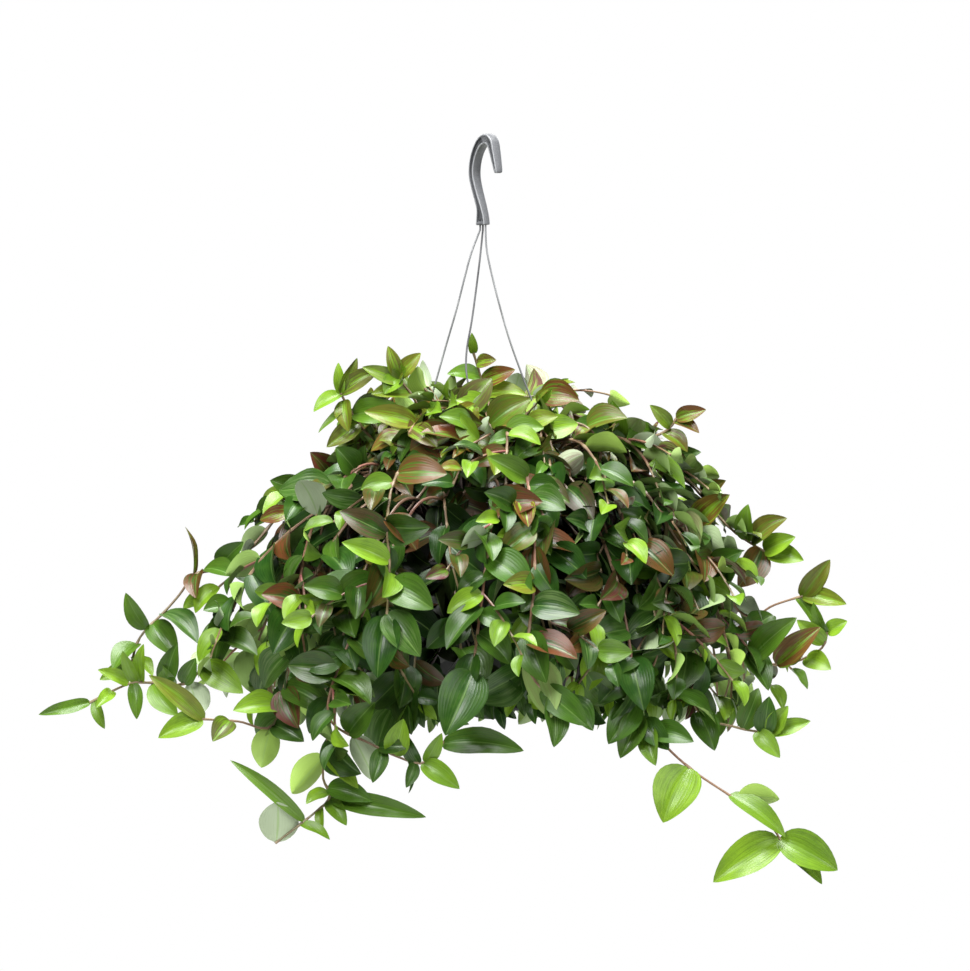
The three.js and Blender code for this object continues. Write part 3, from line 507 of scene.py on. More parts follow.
def under_leaf_material():
    nodes = Nodes("leaf_underside")
    fresh, bronze, mottled = nodes.split("look")
    edge = leaf_place(nodes)[0]
    veins = leaf_veins(nodes, edge)
    streaks = leaf_streaks(nodes, UNDER_STREAKS)
    pale = nodes.tinted(DEEP_GREEN, UNDER_GREENS, fresh=fresh)
    silver = nodes.times(nodes.ramp(mottled, UNDER_SILVER_BY_MOTTLE),
                         nodes.ramp(fresh, UNDER_SILVER_BY_FRESH))
    pale = nodes.mix(silver, pale, UNDER_SILVER)
    flush = nodes.times(nodes.ramp(bronze, UNDER_FLUSH), nodes.ramp(streaks, UNDER_FLUSH_BY_STREAK))
    colour = nodes.mix(flush, pale, UNDER_PURPLE)
    colour = nodes.tinted(colour, UNDER_TINTS, edge=edge, veins=veins)
    height = nodes.ramp(veins, UNDER_VEIN_HEIGHT)
    return nodes.finish(colour, nodes.ramp(streaks, UNDER_ROUGHNESS), height, UNDER_BUMP, UNDER_SPECULAR)


STEM_SHADED = (0.02, 0.01, 0.008)
STEM_RED = (0.25, 0.065, 0.07)
STEM_BROWN = (0.13, 0.057, 0.04)
STEM_GREEN = (0.13, 0.17, 0.04)
JOINT_PALE = (0.27, 0.2, 0.12)
STEM_NOISE = (260.0, 4.0, 0.5)
STEM_REDNESS = (0.0, 1.0)
STEM_TINTS = (
    ("blotches", (0.4, 0.75, 0.0, 0.5), STEM_BROWN),
    ("joint", (0.3, 1.0, 0.0, 0.7), JOINT_PALE),
    # Painted shade on stems deep inside the mass:
    ("red", (-1.0, 0.0, 1.0, 0.0), STEM_SHADED),
)
STEM_ROUGHNESS = (0.2, 0.8, 0.4, 0.62)
STEM_BUMP = (0.3, 0.0004)


def stem_material():
    """On stems the look values are how red, how fresh and how close to a joint the place is, and a red
    below zero is painted shade: how deep inside the mass the place lies."""
    nodes = Nodes("stem")
    red, fresh, joint = nodes.split("look")
    blotches = nodes.noise(nodes.object_place(), STEM_NOISE)
    colour = nodes.mix(nodes.ramp(red, STEM_REDNESS), STEM_BROWN, STEM_RED)
    colour = nodes.mix(fresh, colour, STEM_GREEN)
    colour = nodes.tinted(colour, STEM_TINTS, blotches=blotches, joint=joint, red=red)
    return nodes.finish(colour, nodes.ramp(blotches, STEM_ROUGHNESS), blotches, STEM_BUMP)


HOOK_GREY = (0.07, 0.073, 0.078)
HOOK_PALE = (0.13, 0.134, 0.141)
HOOK_PAINTED_HIGHLIGHT = (0.34, 0.35, 0.36)
HOOK_PAINTED_SHADE = (0.035, 0.037, 0.04)
HOOK_SPECKLE = (1300.0, 2.0, 0.7)
HOOK_BROAD = (120.0, 4.0, 0.6)
HOOK_TINTS = (
    ("speckle", (0.3, 0.7), HOOK_PALE),
    ("broad", (0.4, 0.7, 0.0, 0.4), HOOK_GREY),
    # A painted highlight along the flanges' edges, then painted shade in the channels.
    ("edge", (0.0, 1.0, 0.0, 0.7), HOOK_PAINTED_HIGHLIGHT),
    ("channel", (0.0, 1.0, 0.0, 0.4), HOOK_PAINTED_SHADE),
)
HOOK_ROUGHNESS = (0.2, 0.8, 0.36, 0.52)
HOOK_BUMP = (0.3, 0.0003)


def hook_material():
    """Speckled grey moulded plastic; its look values paint shade in the channels and highlights on the edges.
    """
    nodes = Nodes("hook_grey")
    channel, edge = nodes.split("look")[:2]
    place = nodes.object_place()
    speckle = nodes.noise(place, HOOK_SPECKLE)
    broad = nodes.noise(place, HOOK_BROAD)
    shade = nodes.tinted(HOOK_GREY, HOOK_TINTS, speckle=speckle, broad=broad, edge=edge, channel=channel)
    return nodes.finish(shade, nodes.ramp(broad, HOOK_ROUGHNESS), speckle, HOOK_BUMP)


POT_BLACK = (0.006, 0.006, 0.006)
POT_RUBBED = (0.016, 0.016, 0.015)
POT_BROAD = (75.0, 4.0, 0.6)
POT_GRAIN = (900.0, 2.0, 0.5)
POT_TINTS = (("broad", (0.45, 0.75, 0.0, 0.5), POT_RUBBED),)
POT_ROUGHNESS = (0.2, 0.8, 0.45, 0.6)
POT_BUMP = (0.18, 0.0002)


def pot_material():
    """Black moulded plastic: a fine grain, an uneven gloss and paler rubbed patches."""
    nodes = Nodes("pot_black")
    place = nodes.object_place()
    broad = nodes.noise(place, POT_BROAD)
    shade = nodes.tinted(POT_BLACK, POT_TINTS, broad=broad)
    return nodes.finish(shade, nodes.ramp(broad, POT_ROUGHNESS), nodes.noise(place, POT_GRAIN), POT_BUMP)


WIRE_GREY = (0.19, 0.194, 0.2)
WIRE_PALE = (0.3, 0.306, 0.315)
# A darker copy of the same steel for the front wire: painted shade.
PAINTED_SHADE_WIRE_GREY = (0.05, 0.051, 0.053)
PAINTED_SHADE_WIRE_PALE = (0.09, 0.092, 0.095)
WIRE_BROAD = (45.0, 3.0, 0.5)
WIRE_PALENESS = (0.35, 0.7)
WIRE_ROUGHNESS = (0.2, 0.8, 0.55, 0.7)
WIRE_SPECULAR = 0.2
WIRE_BUMP = (0.1, 0.0002)


def wire_material(name, grey, pale):
    nodes = Nodes(name)
    broad = nodes.noise(nodes.object_place(), WIRE_BROAD)
    shade = nodes.mix(nodes.ramp(broad, WIRE_PALENESS), grey, pale)
    return nodes.finish(shade, nodes.ramp(broad, WIRE_ROUGHNESS), broad, WIRE_BUMP, WIRE_SPECULAR)


def wire_materials():
    """The outer two wires are bright, and the front one gets a darker copy of the same steel: painted shade.
    """
    bright = wire_material("wire_steel", WIRE_GREY, WIRE_PALE)
    painted_shade_wire = wire_material("wire_steel_painted_shade", PAINTED_SHADE_WIRE_GREY, PAINTED_SHADE_WIRE_PALE)
    return bright, painted_shade_wire, bright


SOIL_DARK = (0.012, 0.008, 0.005)
SOIL_BROWN = (0.07, 0.043, 0.025)
SOIL_DRY = (0.1, 0.07, 0.04)
SOIL_FINE = (320.0, 6.0, 0.7)
SOIL_BROAD = (60.0, 4.0, 0.5)
SOIL_TINTS = (
    ("crumbs", (0.35, 0.7), SOIL_BROWN),
    ("broad", (0.55, 0.75, 0.0, 0.5), SOIL_DRY),
)
SOIL_ROUGHNESS = (0.2, 0.8, 0.8, 1.0)
SOIL_BUMP = (0.9, 0.003)


def soil_material():
    nodes = Nodes("soil_peat")
    place = nodes.object_place()
    crumbs = nodes.noise(place, SOIL_FINE)
    shade = nodes.tinted(SOIL_DARK, SOIL_TINTS, crumbs=crumbs, broad=nodes.noise(place, SOIL_BROAD))
    return nodes.finish(shade, nodes.ramp(crumbs, SOIL_ROUGHNESS), crumbs, SOIL_BUMP)


# Hook: a smooth bar of I section through the part's own stations, each the middle of the bar in the
# hook's plane (across, up), its thickness in that plane and its width square to it. The last value is
# how deep the side channels are there, from none to full.
HOOK_STATIONS = (
    (-6.1, HOOK_FOOT_Z, 12.7, 6.4, 0.0),
    (-6.4, -62, 10.6, 6.5, 0.9),
    (-7.6, -55, 7.6, 6.9, 1.0),
    (-10.4, -48, 6.6, 7.4, 1.0),
    (-15.2, -37, 6.4, 8.0, 1.0),
    (-18.2, -27, 6.6, 8.5, 1.0),
    (-17.6, -17, 6.8, 8.6, 1.0),
    (-13.6, -7, 7.2, 8.6, 1.0),
    (-6.8, 1, 7.8, 8.6, 0.7),
    (1.6, 4.2, 8.4, 8.6, 0.0),
    (8.2, 1, 7.6, 8.6, 0.8),
    (11.4, -6.5, 6.2, 8.4, 1.0),
    (14.2, -15.5, 5.0, 7.8, 1.0),
    (16.2, -22.6, 4.2, 7.0, 0.3),
    (16.7, -25, 3.2, 6.2, 0.0),
)

HOOK_ROWS = 110
HOOK_END_SHRINK = 0.9
CHANNEL_STARTS = 0.25
CHANNEL_FULL = 0.55

# The rounding of a flange's edge, then how its inner corner and the channel's corner are cut.
HOOK_EDGE = 0.7
HOOK_EDGE_SHARE = 0.4
HOOK_BEVEL = 0.3
LIP_LEDGE = 0.1
LIP_CUT = 0.15
CHANNEL_CORNER_IN = 0.35
CHANNEL_CORNER_OUT = 0.2
CHANNEL_FLOOR_IN = 0.7
# How much of the channel's painted shade falls on the lip's cut and on the channel's floor.
LIP_SHADE = 0.4
FLOOR_SHADE = 0.7

# The two small slots at the hook's foot, drawn as thin black squares: painted shade for their insides.
SLOT_PLACES = (-1.6, 2.4)
SLOT_SIZE = 1.3
SLOT_Z = -65.0
SLOT_FLOOR = -1.7
SLOT_PROUD = 0.25
SQUARE = ((-1, -1), (1, -1), (1, 1), (-1, 1))


def hook_point(across, up, square):
    cos, sin = math.cos(HOOK_TURN), math.sin(HOOK_TURN)
    return np.array((across * cos - square * sin, across * sin + square * cos, up))


def hook_section(thickness, width, channel):
    """One quarter of the I section, from the middle of an outer face to the middle of a channel, with
    how much painted shade each of its points gets in a channel and painted highlight on a flange's edge."""
    half = thickness / 2
    side = width / 2
    web = side - HOOK_RECESS_DEPTH * channel
    lip = half - HOOK_FLANGE
    edge = min(HOOK_EDGE, half * HOOK_EDGE_SHARE)
    return [
        (half, 0.0, 0, 0),
        (half, side - edge, 0, 0),
        (half - edge * HOOK_BEVEL, side - edge * HOOK_BEVEL, 0, 1),
        (half - edge, side, 0, 1),
        (lip + LIP_LEDGE, side, 0, 1),
        (lip - LIP_CUT, side - LIP_CUT, channel * LIP_SHADE, 0),
        (lip - CHANNEL_CORNER_IN, web + CHANNEL_CORNER_OUT, channel, 0),
        (lip - CHANNEL_FLOOR_IN, web, channel, 0),
        (0.0, web, channel * FLOOR_SHADE, 0),
    ]


def mirrored_section(quarter):
    inner = quarter[1:]
    whole = list(quarter[:-1])
    whole += [(-a, b, c, d) for a, b, c, d in reversed(inner)]
    whole += [(-a, -b, c, d) for a, b, c, d in quarter[:-1]]
    whole += [(a, -b, c, d) for a, b, c, d in reversed(inner)]
    return whole


def make_hook(material):
    stations = len(HOOK_STATIONS) - 1
    rows = [smooth_row(HOOK_STATIONS, stations * row / HOOK_ROWS) for row in range(HOOK_ROWS + 1)]
    points = []
    values = []
    for i, (across, up, thickness, width, channel) in enumerate(rows):
        before, after = rows[max(i - 1, 0)], rows[min(i + 1, HOOK_ROWS)]
        along_it = unit(np.array((after[0] - before[0], after[1] - before[1])))
        size = 1.0 if 0 < i < HOOK_ROWS else HOOK_END_SHRINK
        quarter = hook_section(thickness * size, width * size, share(channel, CHANNEL_STARTS, CHANNEL_FULL))
        # Each point carries its painted shade in the channel and its painted highlight on a flange's edge.
        for side, square, inside, edge in mirrored_section(quarter):
            points.append(hook_point(across - along_it[1] * side, up + along_it[0] * side, square))
            values.append((inside, edge, 0))
    faces = bar_faces(len(rows), len(points) // len(rows))
    piece = add_mesh("hanger_hook", points, faces, [material], ("hook",),
                     smooth_angle=HOOK_SMOOTH)
    add_values(piece, "look", values)


def make_slot_shades(material):
    """Black squares over the wires' ends, at the bottom of the channel: painted shade for two small slots."""
    for i, offset in enumerate(SLOT_PLACES):
        points = []
        for square in (SLOT_FLOOR, SLOT_FLOOR - SLOT_PROUD):
            for a, b in SQUARE:
                across = HOOK_STATIONS[0][0] + offset + a * SLOT_SIZE / 2
                points.append(hook_point(across, SLOT_Z + b * SLOT_SIZE / 2, square))
        add_mesh(f"hook_slot_shade_{i + 1}", points, bar_faces(2, len(SQUARE)), [material])


# Wires: the part's own routes, in finer steps. A wire has the angle of its hole in the rim, its place in
# the row of sockets and its waypoints between the two.
WIRE_HOLE_CIRCLE = (POT_TOP_RADIUS + RIM_RADIUS - RIM_LIP) / 2
WIRE_STEP = 0.2
WIRE_SIDES = 10
WIRE_TAIL_DROP = 1.28
WIRES = (
    (150, -1, (
        (-13.4, 10, -93), (-19.6, 13, -116), (-26, 17, -141), (-35, 22, -172), (-43.5, 26, -202),
        (-51.5, 31, -230),
    )),
    (-93, 0, (
        (-6.5, -6, -102), (-12.5, -24, -148), (-17, -36, -174), (-17.5, -46, -194), (-13.5, -57, -218),
        (-9.5, -70, -254),
    )),
    (27, 1, (
        (0.2, 3, -93), (7.7, 6, -126), (18, 11, -163), (28.5, 16, -193), (40, 22, -223), (52, 28, -254),
    )),
)


def wire_route(angle, socket, waypoints):
    top = hook_point(HOOK_STATIONS[0][0] + socket * WIRE_SPACING, HOOK_FOOT_Z, 0)
    foot = polar(WIRE_HOLE_CIRCLE, angle, RIM_Z)
    free = [top - np.array((0, 0, WIRE_LEAD)), *waypoints, foot + np.array((0, 0, WIRE_RISE))]
    steps = int((len(free) - 1) / WIRE_STEP)
    tail_z = RIM_Z - RIM_THICKNESS - GAP - WIRE_TAIL_DROP
    return [
        top + np.array((0, 0, WIRE_SOCKET_DEPTH - GAP)),
        *(smooth_row(free, step * WIRE_STEP) for step in range(steps + 1)),
        np.array((foot[0], foot[1], tail_z + WIRE_TAIL_KINK)),
        polar(WIRE_HOLE_CIRCLE, angle + WIRE_TAIL_TURN, tail_z),
    ]


def make_wires(materials):
    for i, (wire, material) in enumerate(zip(WIRES, materials)):
        route = wire_route(*wire)
        points, faces = tube(route, [WIRE_RADIUS] * len(route), WIRE_SIDES)
        add_mesh(f"hanger_wire_{i + 1}", points, faces, [material], (f"wire_{i + 1}",))


# Pot: its section runs from the middle of the base out over the foot, up the outside, over the rim and
# down the inside. Each stretch has the radius and height of its corner and its points out and up from it.
POT_SEGMENTS = 96
POT_MIDDLE = 2.0
POT_FLOOR_Z = POT_BASE_Z + POT_FOOT_HEIGHT + POT_WALL
POT_SECTION = (
    (POT_MIDDLE, POT_BASE_Z, ((0, POT_FOOT_HEIGHT),)),
    (POT_BASE_RADIUS, POT_BASE_Z, (
        (-10, POT_FOOT_HEIGHT), (-7.4, 0.4), (-6.6, 0), (-1.2, 0), (-0.2, 0.8), (1.5, 12), (1.0, 13),
    )),
    (POT_TOP_RADIUS, RIM_Z - RIM_THICKNESS, ((-4.6, -24), (-2.6, -22), (-0.3, -1.5), (0.6, 0))),
    (RIM_RADIUS - RIM_LIP, RIM_Z - RIM_THICKNESS, ((0, 0),)),
    (RIM_RADIUS - RIM_LIP, RIM_Z - RIM_FLANGE, ((0, 0.4), (0.5, 0))),
    (RIM_RADIUS, RIM_Z - RIM_FLANGE, ((-0.4, 0), (0, 0.5))),
    (RIM_RADIUS, RIM_Z, ((0, -0.8), (-0.8, 0))),
    (POT_TOP_RADIUS - POT_WALL, RIM_Z, ((0.6, 0), (0, -0.8))),
    (POT_BASE_RADIUS - POT_WALL, POT_FLOOR_Z, ((0, 0),)),
    (POT_MIDDLE, POT_FLOOR_Z, ((0, 0),)),
)


def make_pot(material):
    profile = [(radius + out, z + up) for radius, z, stretch in POT_SECTION for out, up in stretch]
    points, faces = lathe(profile, POT_SEGMENTS)
    add_mesh("pot_shell", points, faces, [material], ("pot",), smooth_angle=POT_SMOOTH)


# Soil: the pot's inside up to its own top, which is a low dome of uneven crumbs.
SOIL_TOP_Z = RIM_Z - SOIL_DEPTH_BELOW_RIM
SOIL_FLOOR_Z = POT_FLOOR_Z + GAP
SOIL_FROM_WALL = 2.5 * GAP
SOIL_BASE_MIDDLE = 1.0
SOIL_TOP_MIDDLE = 0.6
SOIL_RINGS = 46
SOIL_DOME = 3.0
SOIL_DOME_POWER = 4
SOIL_CRUMB = 2.2
CRUMB_SINK = 0.55
SOIL_SEED = 5


def soil_radius(z):
    slope = (POT_TOP_RADIUS - POT_BASE_RADIUS) / (POT_HEIGHT - POT_FOOT_HEIGHT - POT_WALL)
    return POT_BASE_RADIUS - POT_WALL + slope * (z - SOIL_FLOOR_Z) - SOIL_FROM_WALL


def make_soil(material):
    draw = random.Random(SOIL_SEED).random
    edge = soil_radius(SOIL_TOP_Z)
    floor = soil_radius(SOIL_FLOOR_Z)
    profile = [(SOIL_BASE_MIDDLE, SOIL_FLOOR_Z), (floor, SOIL_FLOOR_Z), (edge, SOIL_TOP_Z)]
    smooth_points = len(profile) * POT_SEGMENTS
    for ring in range(1, SOIL_RINGS):
        radius = edge * (1 - ring / SOIL_RINGS) + SOIL_TOP_MIDDLE
        profile.append((radius, SOIL_TOP_Z + SOIL_DOME * (1 - (radius / edge) ** SOIL_DOME_POWER)))
    points, faces = lathe(profile, POT_SEGMENTS)
    for i in range(smooth_points, len(points)):
        points[i] = points[i] + np.array((0, 0, (draw() - CRUMB_SINK) * SOIL_CRUMB))
    add_mesh("soil_surface", points, faces, [material], ("soil",), smooth_angle=SOIL_SMOOTH)


# Foliage. These are the part's own stems and leaves, grown by the same rule from the same draws: a stem
# is a smooth curve through its waypoints, and a place on it is counted in waypoints from its root. Each
# leading stem has its name, the stretch where the rule grows its leaves, its waypoints and its best-seen
# leaves, each with its place, its tip, its width and the way its upper face turns.
FRONT = (0, -1, 0.35)
EDGE_ON = (0.9, -0.35, 0.3)
LEAN_LEFT = (-0.5, -0.8, 0.4)
LEAN_RIGHT = (0.5, -0.8, 0.4)
UNDERSIDE = (0.1, 0.9, 0.5)

LEADING_STEMS = (
    ("stem_left_upper", (2.2, 4.2), (
        (-52, -14, -358), (-58, -16, -318), (-104, -21, -280), (-160, -27, -300), (-202, -31, -345),
        (-229, -33, -361), (-248, -35, -366), (-260, -37, -382), (-273, -39, -397), (-294, -42, -419),
        (-302, -44, -444),
    ), (
        (6.1, (-256, -42, -325), 12, EDGE_ON), (8.1, (-245, -66, -424), 27, LEAN_RIGHT),
        (8.7, (-306, -54, -381), 17, LEAN_LEFT), (9.2, (-316, -64, -447), 24, LEAN_LEFT),
        (9.95, (-328, -54, -455), 14, FRONT), (9.6, (-283, -62, -452), 15, LEAN_RIGHT),
        (5.8, (-246, -60, -386), 20, LEAN_LEFT), (4.4, (-184, -46, -377), 25, FRONT),
        (2.5, (-150, -44, -262), 24, FRONT), (3.0, (-184, -46, -286), 24, FRONT),
        (4.9, (-206, -52, -338), 20, FRONT), (8.5, (-262, -62, -436), 24, FRONT),
    )),
    ("stem_left_low", (2.2, 4.6), (
        (-60, -32, -358), (-68, -38, -318), (-125, -60, -304), (-190, -72, -352), (-228, -80, -420),
        (-252, -84, -456), (-285, -88, -457), (-303, -90, -458), (-336, -92, -474),
    ), (
        (5.0, (-246, -106, -487), 26, UNDERSIDE), (5.9, (-261, -104, -485), 21, LEAN_LEFT),
        (4.2, (-238, -100, -444), 25, UNDERSIDE), (7.0, (-329, -98, -446), 12, FRONT),
        (7.97, (-379, -98, -484), 12, FRONT), (7.8, (-323, -98, -496), 11, LEAN_LEFT),
        (7.4, (-330, -112, -478), 12, FRONT), (3.6, (-240, -88, -396), 22, LEAN_LEFT),
        (3.85, (-237, -94, -416), 20, FRONT), (5.4, (-276, -96, -441), 15, LEAN_LEFT),
        (5.15, (-246, -94, -436), 16, FRONT), (3.2, (-180, -92, -404), 24, FRONT),
        (4.0, (-194, -100, -434), 26, LEAN_RIGHT), (4.5, (-206, -100, -466), 26, FRONT),
    )),
    ("stem_left_front", (2.2, 5.0), (
        (-43, -47, -358), (-52, -60, -318), (-98, -106, -304), (-142, -140, -360), (-166, -152, -440),
        (-180, -156, -492), (-210, -156, -489), (-240, -156, -487),
    ), (
        (6.9, (-285, -160, -450), 17, LEAN_LEFT), (6.98, (-277, -164, -503), 21, FRONT),
        (6.2, (-231, -172, -506), 20, FRONT), (5.1, (-190, -166, -528), 24, UNDERSIDE),
        (4.6, (-214, -168, -480), 24, LEAN_LEFT), (5.0, (-154, -170, -506), 22, FRONT),
    )),
    ("stem_bottom_left", (2.2, 5.2), (
        (-26, -60, -358), (-35, -77, -318), (-72, -142, -304), (-106, -186, -370), (-126, -197, -440),
        (-133, -199, -496), (-138, -199, -534), (-132, -199, -552), (-148, -202, -568),
        (-178, -206, -591),
    ), (
        (5.4, (-108, -214, -545), 17, FRONT), (5.5, (-164, -218, -549), 25, UNDERSIDE),
        (6.5, (-96, -214, -556), 20, FRONT), (7.1, (-51, -214, -569), 20, FRONT),
        (8.2, (-216, -208, -521), 13, FRONT), (8.95, (-176, -216, -556), 34, UNDERSIDE),
        (7.6, (-138, -208, -582), 9, LEAN_LEFT), (6.8, (-152, -214, -558), 16, LEAN_LEFT),
        (7.2, (-118, -214, -576), 15, FRONT), (4.5, (-152, -214, -498), 26, FRONT),
    )),
    ("stem_bottom_middle", (2.2, 5.4), (
        (-8, -63, -358), (-15, -84, -318), (-56, -164, -304), (-96, -206, -380), (-128, -216, -452),
        (-131, -217, -488), (-98, -219, -507), (-67, -221, -521), (-50, -221, -522), (-36, -221, -505),
    ), (
        (7.7, (-23, -230, -545), 19, FRONT), (8.8, (31, -232, -513), 24, FRONT),
        (6.6, (-70, -232, -486), 22, FRONT), (7.0, (-66, -224, -549), 9, EDGE_ON),
        (5.6, (-112, -228, -541), 24, UNDERSIDE), (6.2, (-64, -230, -509), 14, FRONT),
        (5.5, (-94, -232, -472), 26, FRONT), (6.3, (-96, -232, -540), 16, FRONT),
        (7.3, (-68, -230, -544), 12, LEAN_RIGHT), (4.1, (-94, -232, -468), 26, LEAN_RIGHT),
    )),
    ("stem_bottom_right", (2.2, 5.4), (
        (31, -52, -358), (38, -68, -318), (78, -124, -304), (106, -154, -360), (120, -166, -424),
        (126, -170, -478), (146, -174, -505), (173, -178, -530), (207, -182, -553), (237, -186, -575),
        (247, -188, -589),
    ), (
        (5.3, (153, -186, -513), 22, FRONT), (6.9, (148, -194, -574), 40, FRONT),
        (7.9, (251, -196, -586), 22, LEAN_RIGHT), (9.9, (190, -198, -624), 33, FRONT),
        (9.8, (295, -192, -614), 32, FRONT), (9.95, (282, -178, -626), 22, LEAN_RIGHT),
        (4.4, (94, -184, -474), 28, FRONT), (4.9, (102, -186, -508), 28, FRONT),
        (5.7, (174, -190, -506), 22, FRONT), (3.8, (88, -184, -420), 28, FRONT),
    )),
    ("stem_right_low", (2.2, 5.2), (
        (47, -34, -358), (56, -42, -318), (108, -82, -300), (152, -112, -360), (168, -122, -430),
        (178, -126, -481), (209, -130, -494), (241, -132, -500),
    ), (
        (6.9, (273, -136, -489), 15, FRONT), (6.5, (247, -142, -520), 17, FRONT),
        (6.2, (229, -134, -461), 20, FRONT), (4.6, (156, -142, -490), 26, LEAN_LEFT),
        (5.0, (192, -142, -514), 24, FRONT), (6.7, (238, -142, -468), 20, FRONT),
    )),
    ("stem_right_side", (2.2, 5.2), (
        (60, -20, -358), (68, -23, -318), (122, -40, -290), (180, -55, -345), (204, -60, -405),
        (216, -62, -431), (248, -65, -442), (281, -67, -430), (288, -68, -414),
    ), (
        (6.6, (291, -84, -446), 19, FRONT), (6.2, (272, -70, -421), 14, FRONT),
        (7.95, (305, -74, -405), 15, FRONT), (7.9, (276, -78, -389), 11, LEAN_LEFT),
        (5.3, (262, -88, -402), 25, FRONT), (5.9, (282, -80, -410), 23, FRONT),
        (4.9, (238, -82, -464), 26, LEAN_RIGHT), (3.3, (216, -76, -346), 22, FRONT),
    )),
    ("stem_far_right", (2.2, 5.2), (
        (63, -4, -358), (71, -5, -315), (126, -9, -278), (178, -13, -325), (206, -16, -386),
        (224, -18, -402), (243, -19, -392), (268, -20, -384),
    ), (
        (6.9, (291, -28, -353), 19, LEAN_RIGHT), (6.97, (305, -27, -391), 17, FRONT),
        (6.7, (282, -30, -418), 15, LEAN_RIGHT), (3.0, (206, -32, -298), 24, FRONT),
        (3.7, (214, -36, -350), 22, FRONT),
    )),
    ("stem_right_upper", (1.6, 4.4), (
        (58, 12, -358), (64, 13, -312), (112, 16, -264), (166, 17, -284), (206, 14, -326),
        (240, 9, -349),
    ), (
        (4.5, (255, 0, -318), 22, LEAN_LEFT), (4.95, (269, -4, -354), 19, FRONT),
        (3.4, (203, -8, -286), 17, FRONT), (4.4, (222, 2, -306), 20, LEAN_LEFT),
        (4.7, (213, -2, -377), 27, LEAN_RIGHT), (2.6, (182, -6, -262), 20, FRONT),
    )),
    ("stem_top_right", (1.6, 4.6), (
        (42, 0, -358), (48, -1, -312), (84, -4, -258), (130, -8, -252), (152, -10, -244),
        (161, -12, -233),
    ), (
        (4.9, (186, -16, -226), 15, FRONT), (3.8, (170, -18, -262), 17, LEAN_RIGHT),
        (2.0, (86, -22, -234), 22, FRONT), (2.5, (106, -26, -218), 22, FRONT),
    )),
    ("stem_top_left", (1.4, 3.7), (
        (-30, -9, -358), (-36, -14, -300), (-48, -24, -250), (-60, -32, -220), (-76, -38, -198),
    ), (
        (3.95, (-56, -42, -178), 15, FRONT), (3.7, (-106, -44, -190), 15, FRONT),
        (3.9, (-87, -48, -213), 17, FRONT), (3.3, (-98, -46, -213), 19, LEAN_LEFT),
    )),
    ("stem_top_far_left", (1.6, 4.4), (
        (-45, -3, -358), (-54, -7, -300), (-82, -16, -266), (-100, -25, -248), (-114, -30, -230),
        (-124, -34, -212),
    ), (
        (4.9, (-147, -40, -228), 15, LEAN_LEFT), (4.95, (-90, -38, -192), 17, FRONT),
        (4.3, (-143, -42, -246), 8, LEAN_LEFT), (4.6, (-117, -44, -245), 17, LEAN_LEFT),
        (4.97, (-126, -38, -186), 10, FRONT), (4.0, (-67, -48, -229), 24, FRONT),
    )),
    ("stem_top_middle", (1.8, 3.5), (
        (-6, -16, -358), (-4, -17, -300), (-2, -19, -250), (-3, -22, -210), (-12, -25, -176),
    ), (
        (3.9, (-20, -30, -158), 9, FRONT), (3.6, (8, -34, -184), 13, FRONT),
    )),
    ("stem_front_middle", (1.8, 4.9), (
        (7, -66, -358), (7, -82, -318), (6, -144, -292), (2, -202, -336), (-6, -232, -398),
        (-12, -240, -450), (-12, -240, -476),
    ), (
        (4.9, (-35, -262, -500), 41, FRONT), (3.0, (-22, -226, -342), 24, UNDERSIDE),
    )),
    ("stem_front_left", (2.0, 5.4), (
        (-18, -42, -358), (-27, -62, -312), (-60, -132, -270), (-78, -192, -286), (-84, -216, -322),
        (-82, -226, -354), (-84, -234, -400),
    ), (
        (4.3, (-124, -222, -312), 24, FRONT), (5.0, (-122, -238, -338), 20, FRONT),
        (5.4, (-45, -246, -394), 32, FRONT),
    )),
    ("stem_front_far_left", (2.0, 4.9), (
        (-38, -29, -358), (-49, -40, -310), (-98, -84, -272), (-140, -130, -310), (-158, -158, -375),
        (-152, -172, -440),
    ), (
        (4.2, (-190, -170, -382), 24, FRONT), (4.9, (-100, -192, -468), 28, FRONT),
        (2.3, (-128, -112, -258), 24, FRONT),
    )),
    ("stem_front_right", (1.8, 4.9), (
        (17, -45, -358), (21, -60, -312), (30, -126, -276), (38, -186, -312), (40, -216, -370),
        (34, -230, -440), (54, -230, -468),
    ), (
        (4.9, (54, -246, -485), 34, UNDERSIDE), (2.4, (0, -172, -266), 22, FRONT),
        (4.3, (78, -234, -398), 28, FRONT), (4.7, (76, -246, -436), 28, LEAN_RIGHT),
        (5.6, (84, -240, -492), 26, FRONT), (5.95, (56, -244, -510), 24, LEAN_RIGHT),
    )),
    ("stem_crown_left", (1.4, 3.8), (
        (-26, -25, -358), (-33, -36, -300), (-46, -56, -258), (-58, -78, -238), (-66, -102, -246),
    ), (
        (3.2, (-104, -92, -228), 20, FRONT), (3.6, (-42, -116, -258), 20, FRONT),
    )),
)

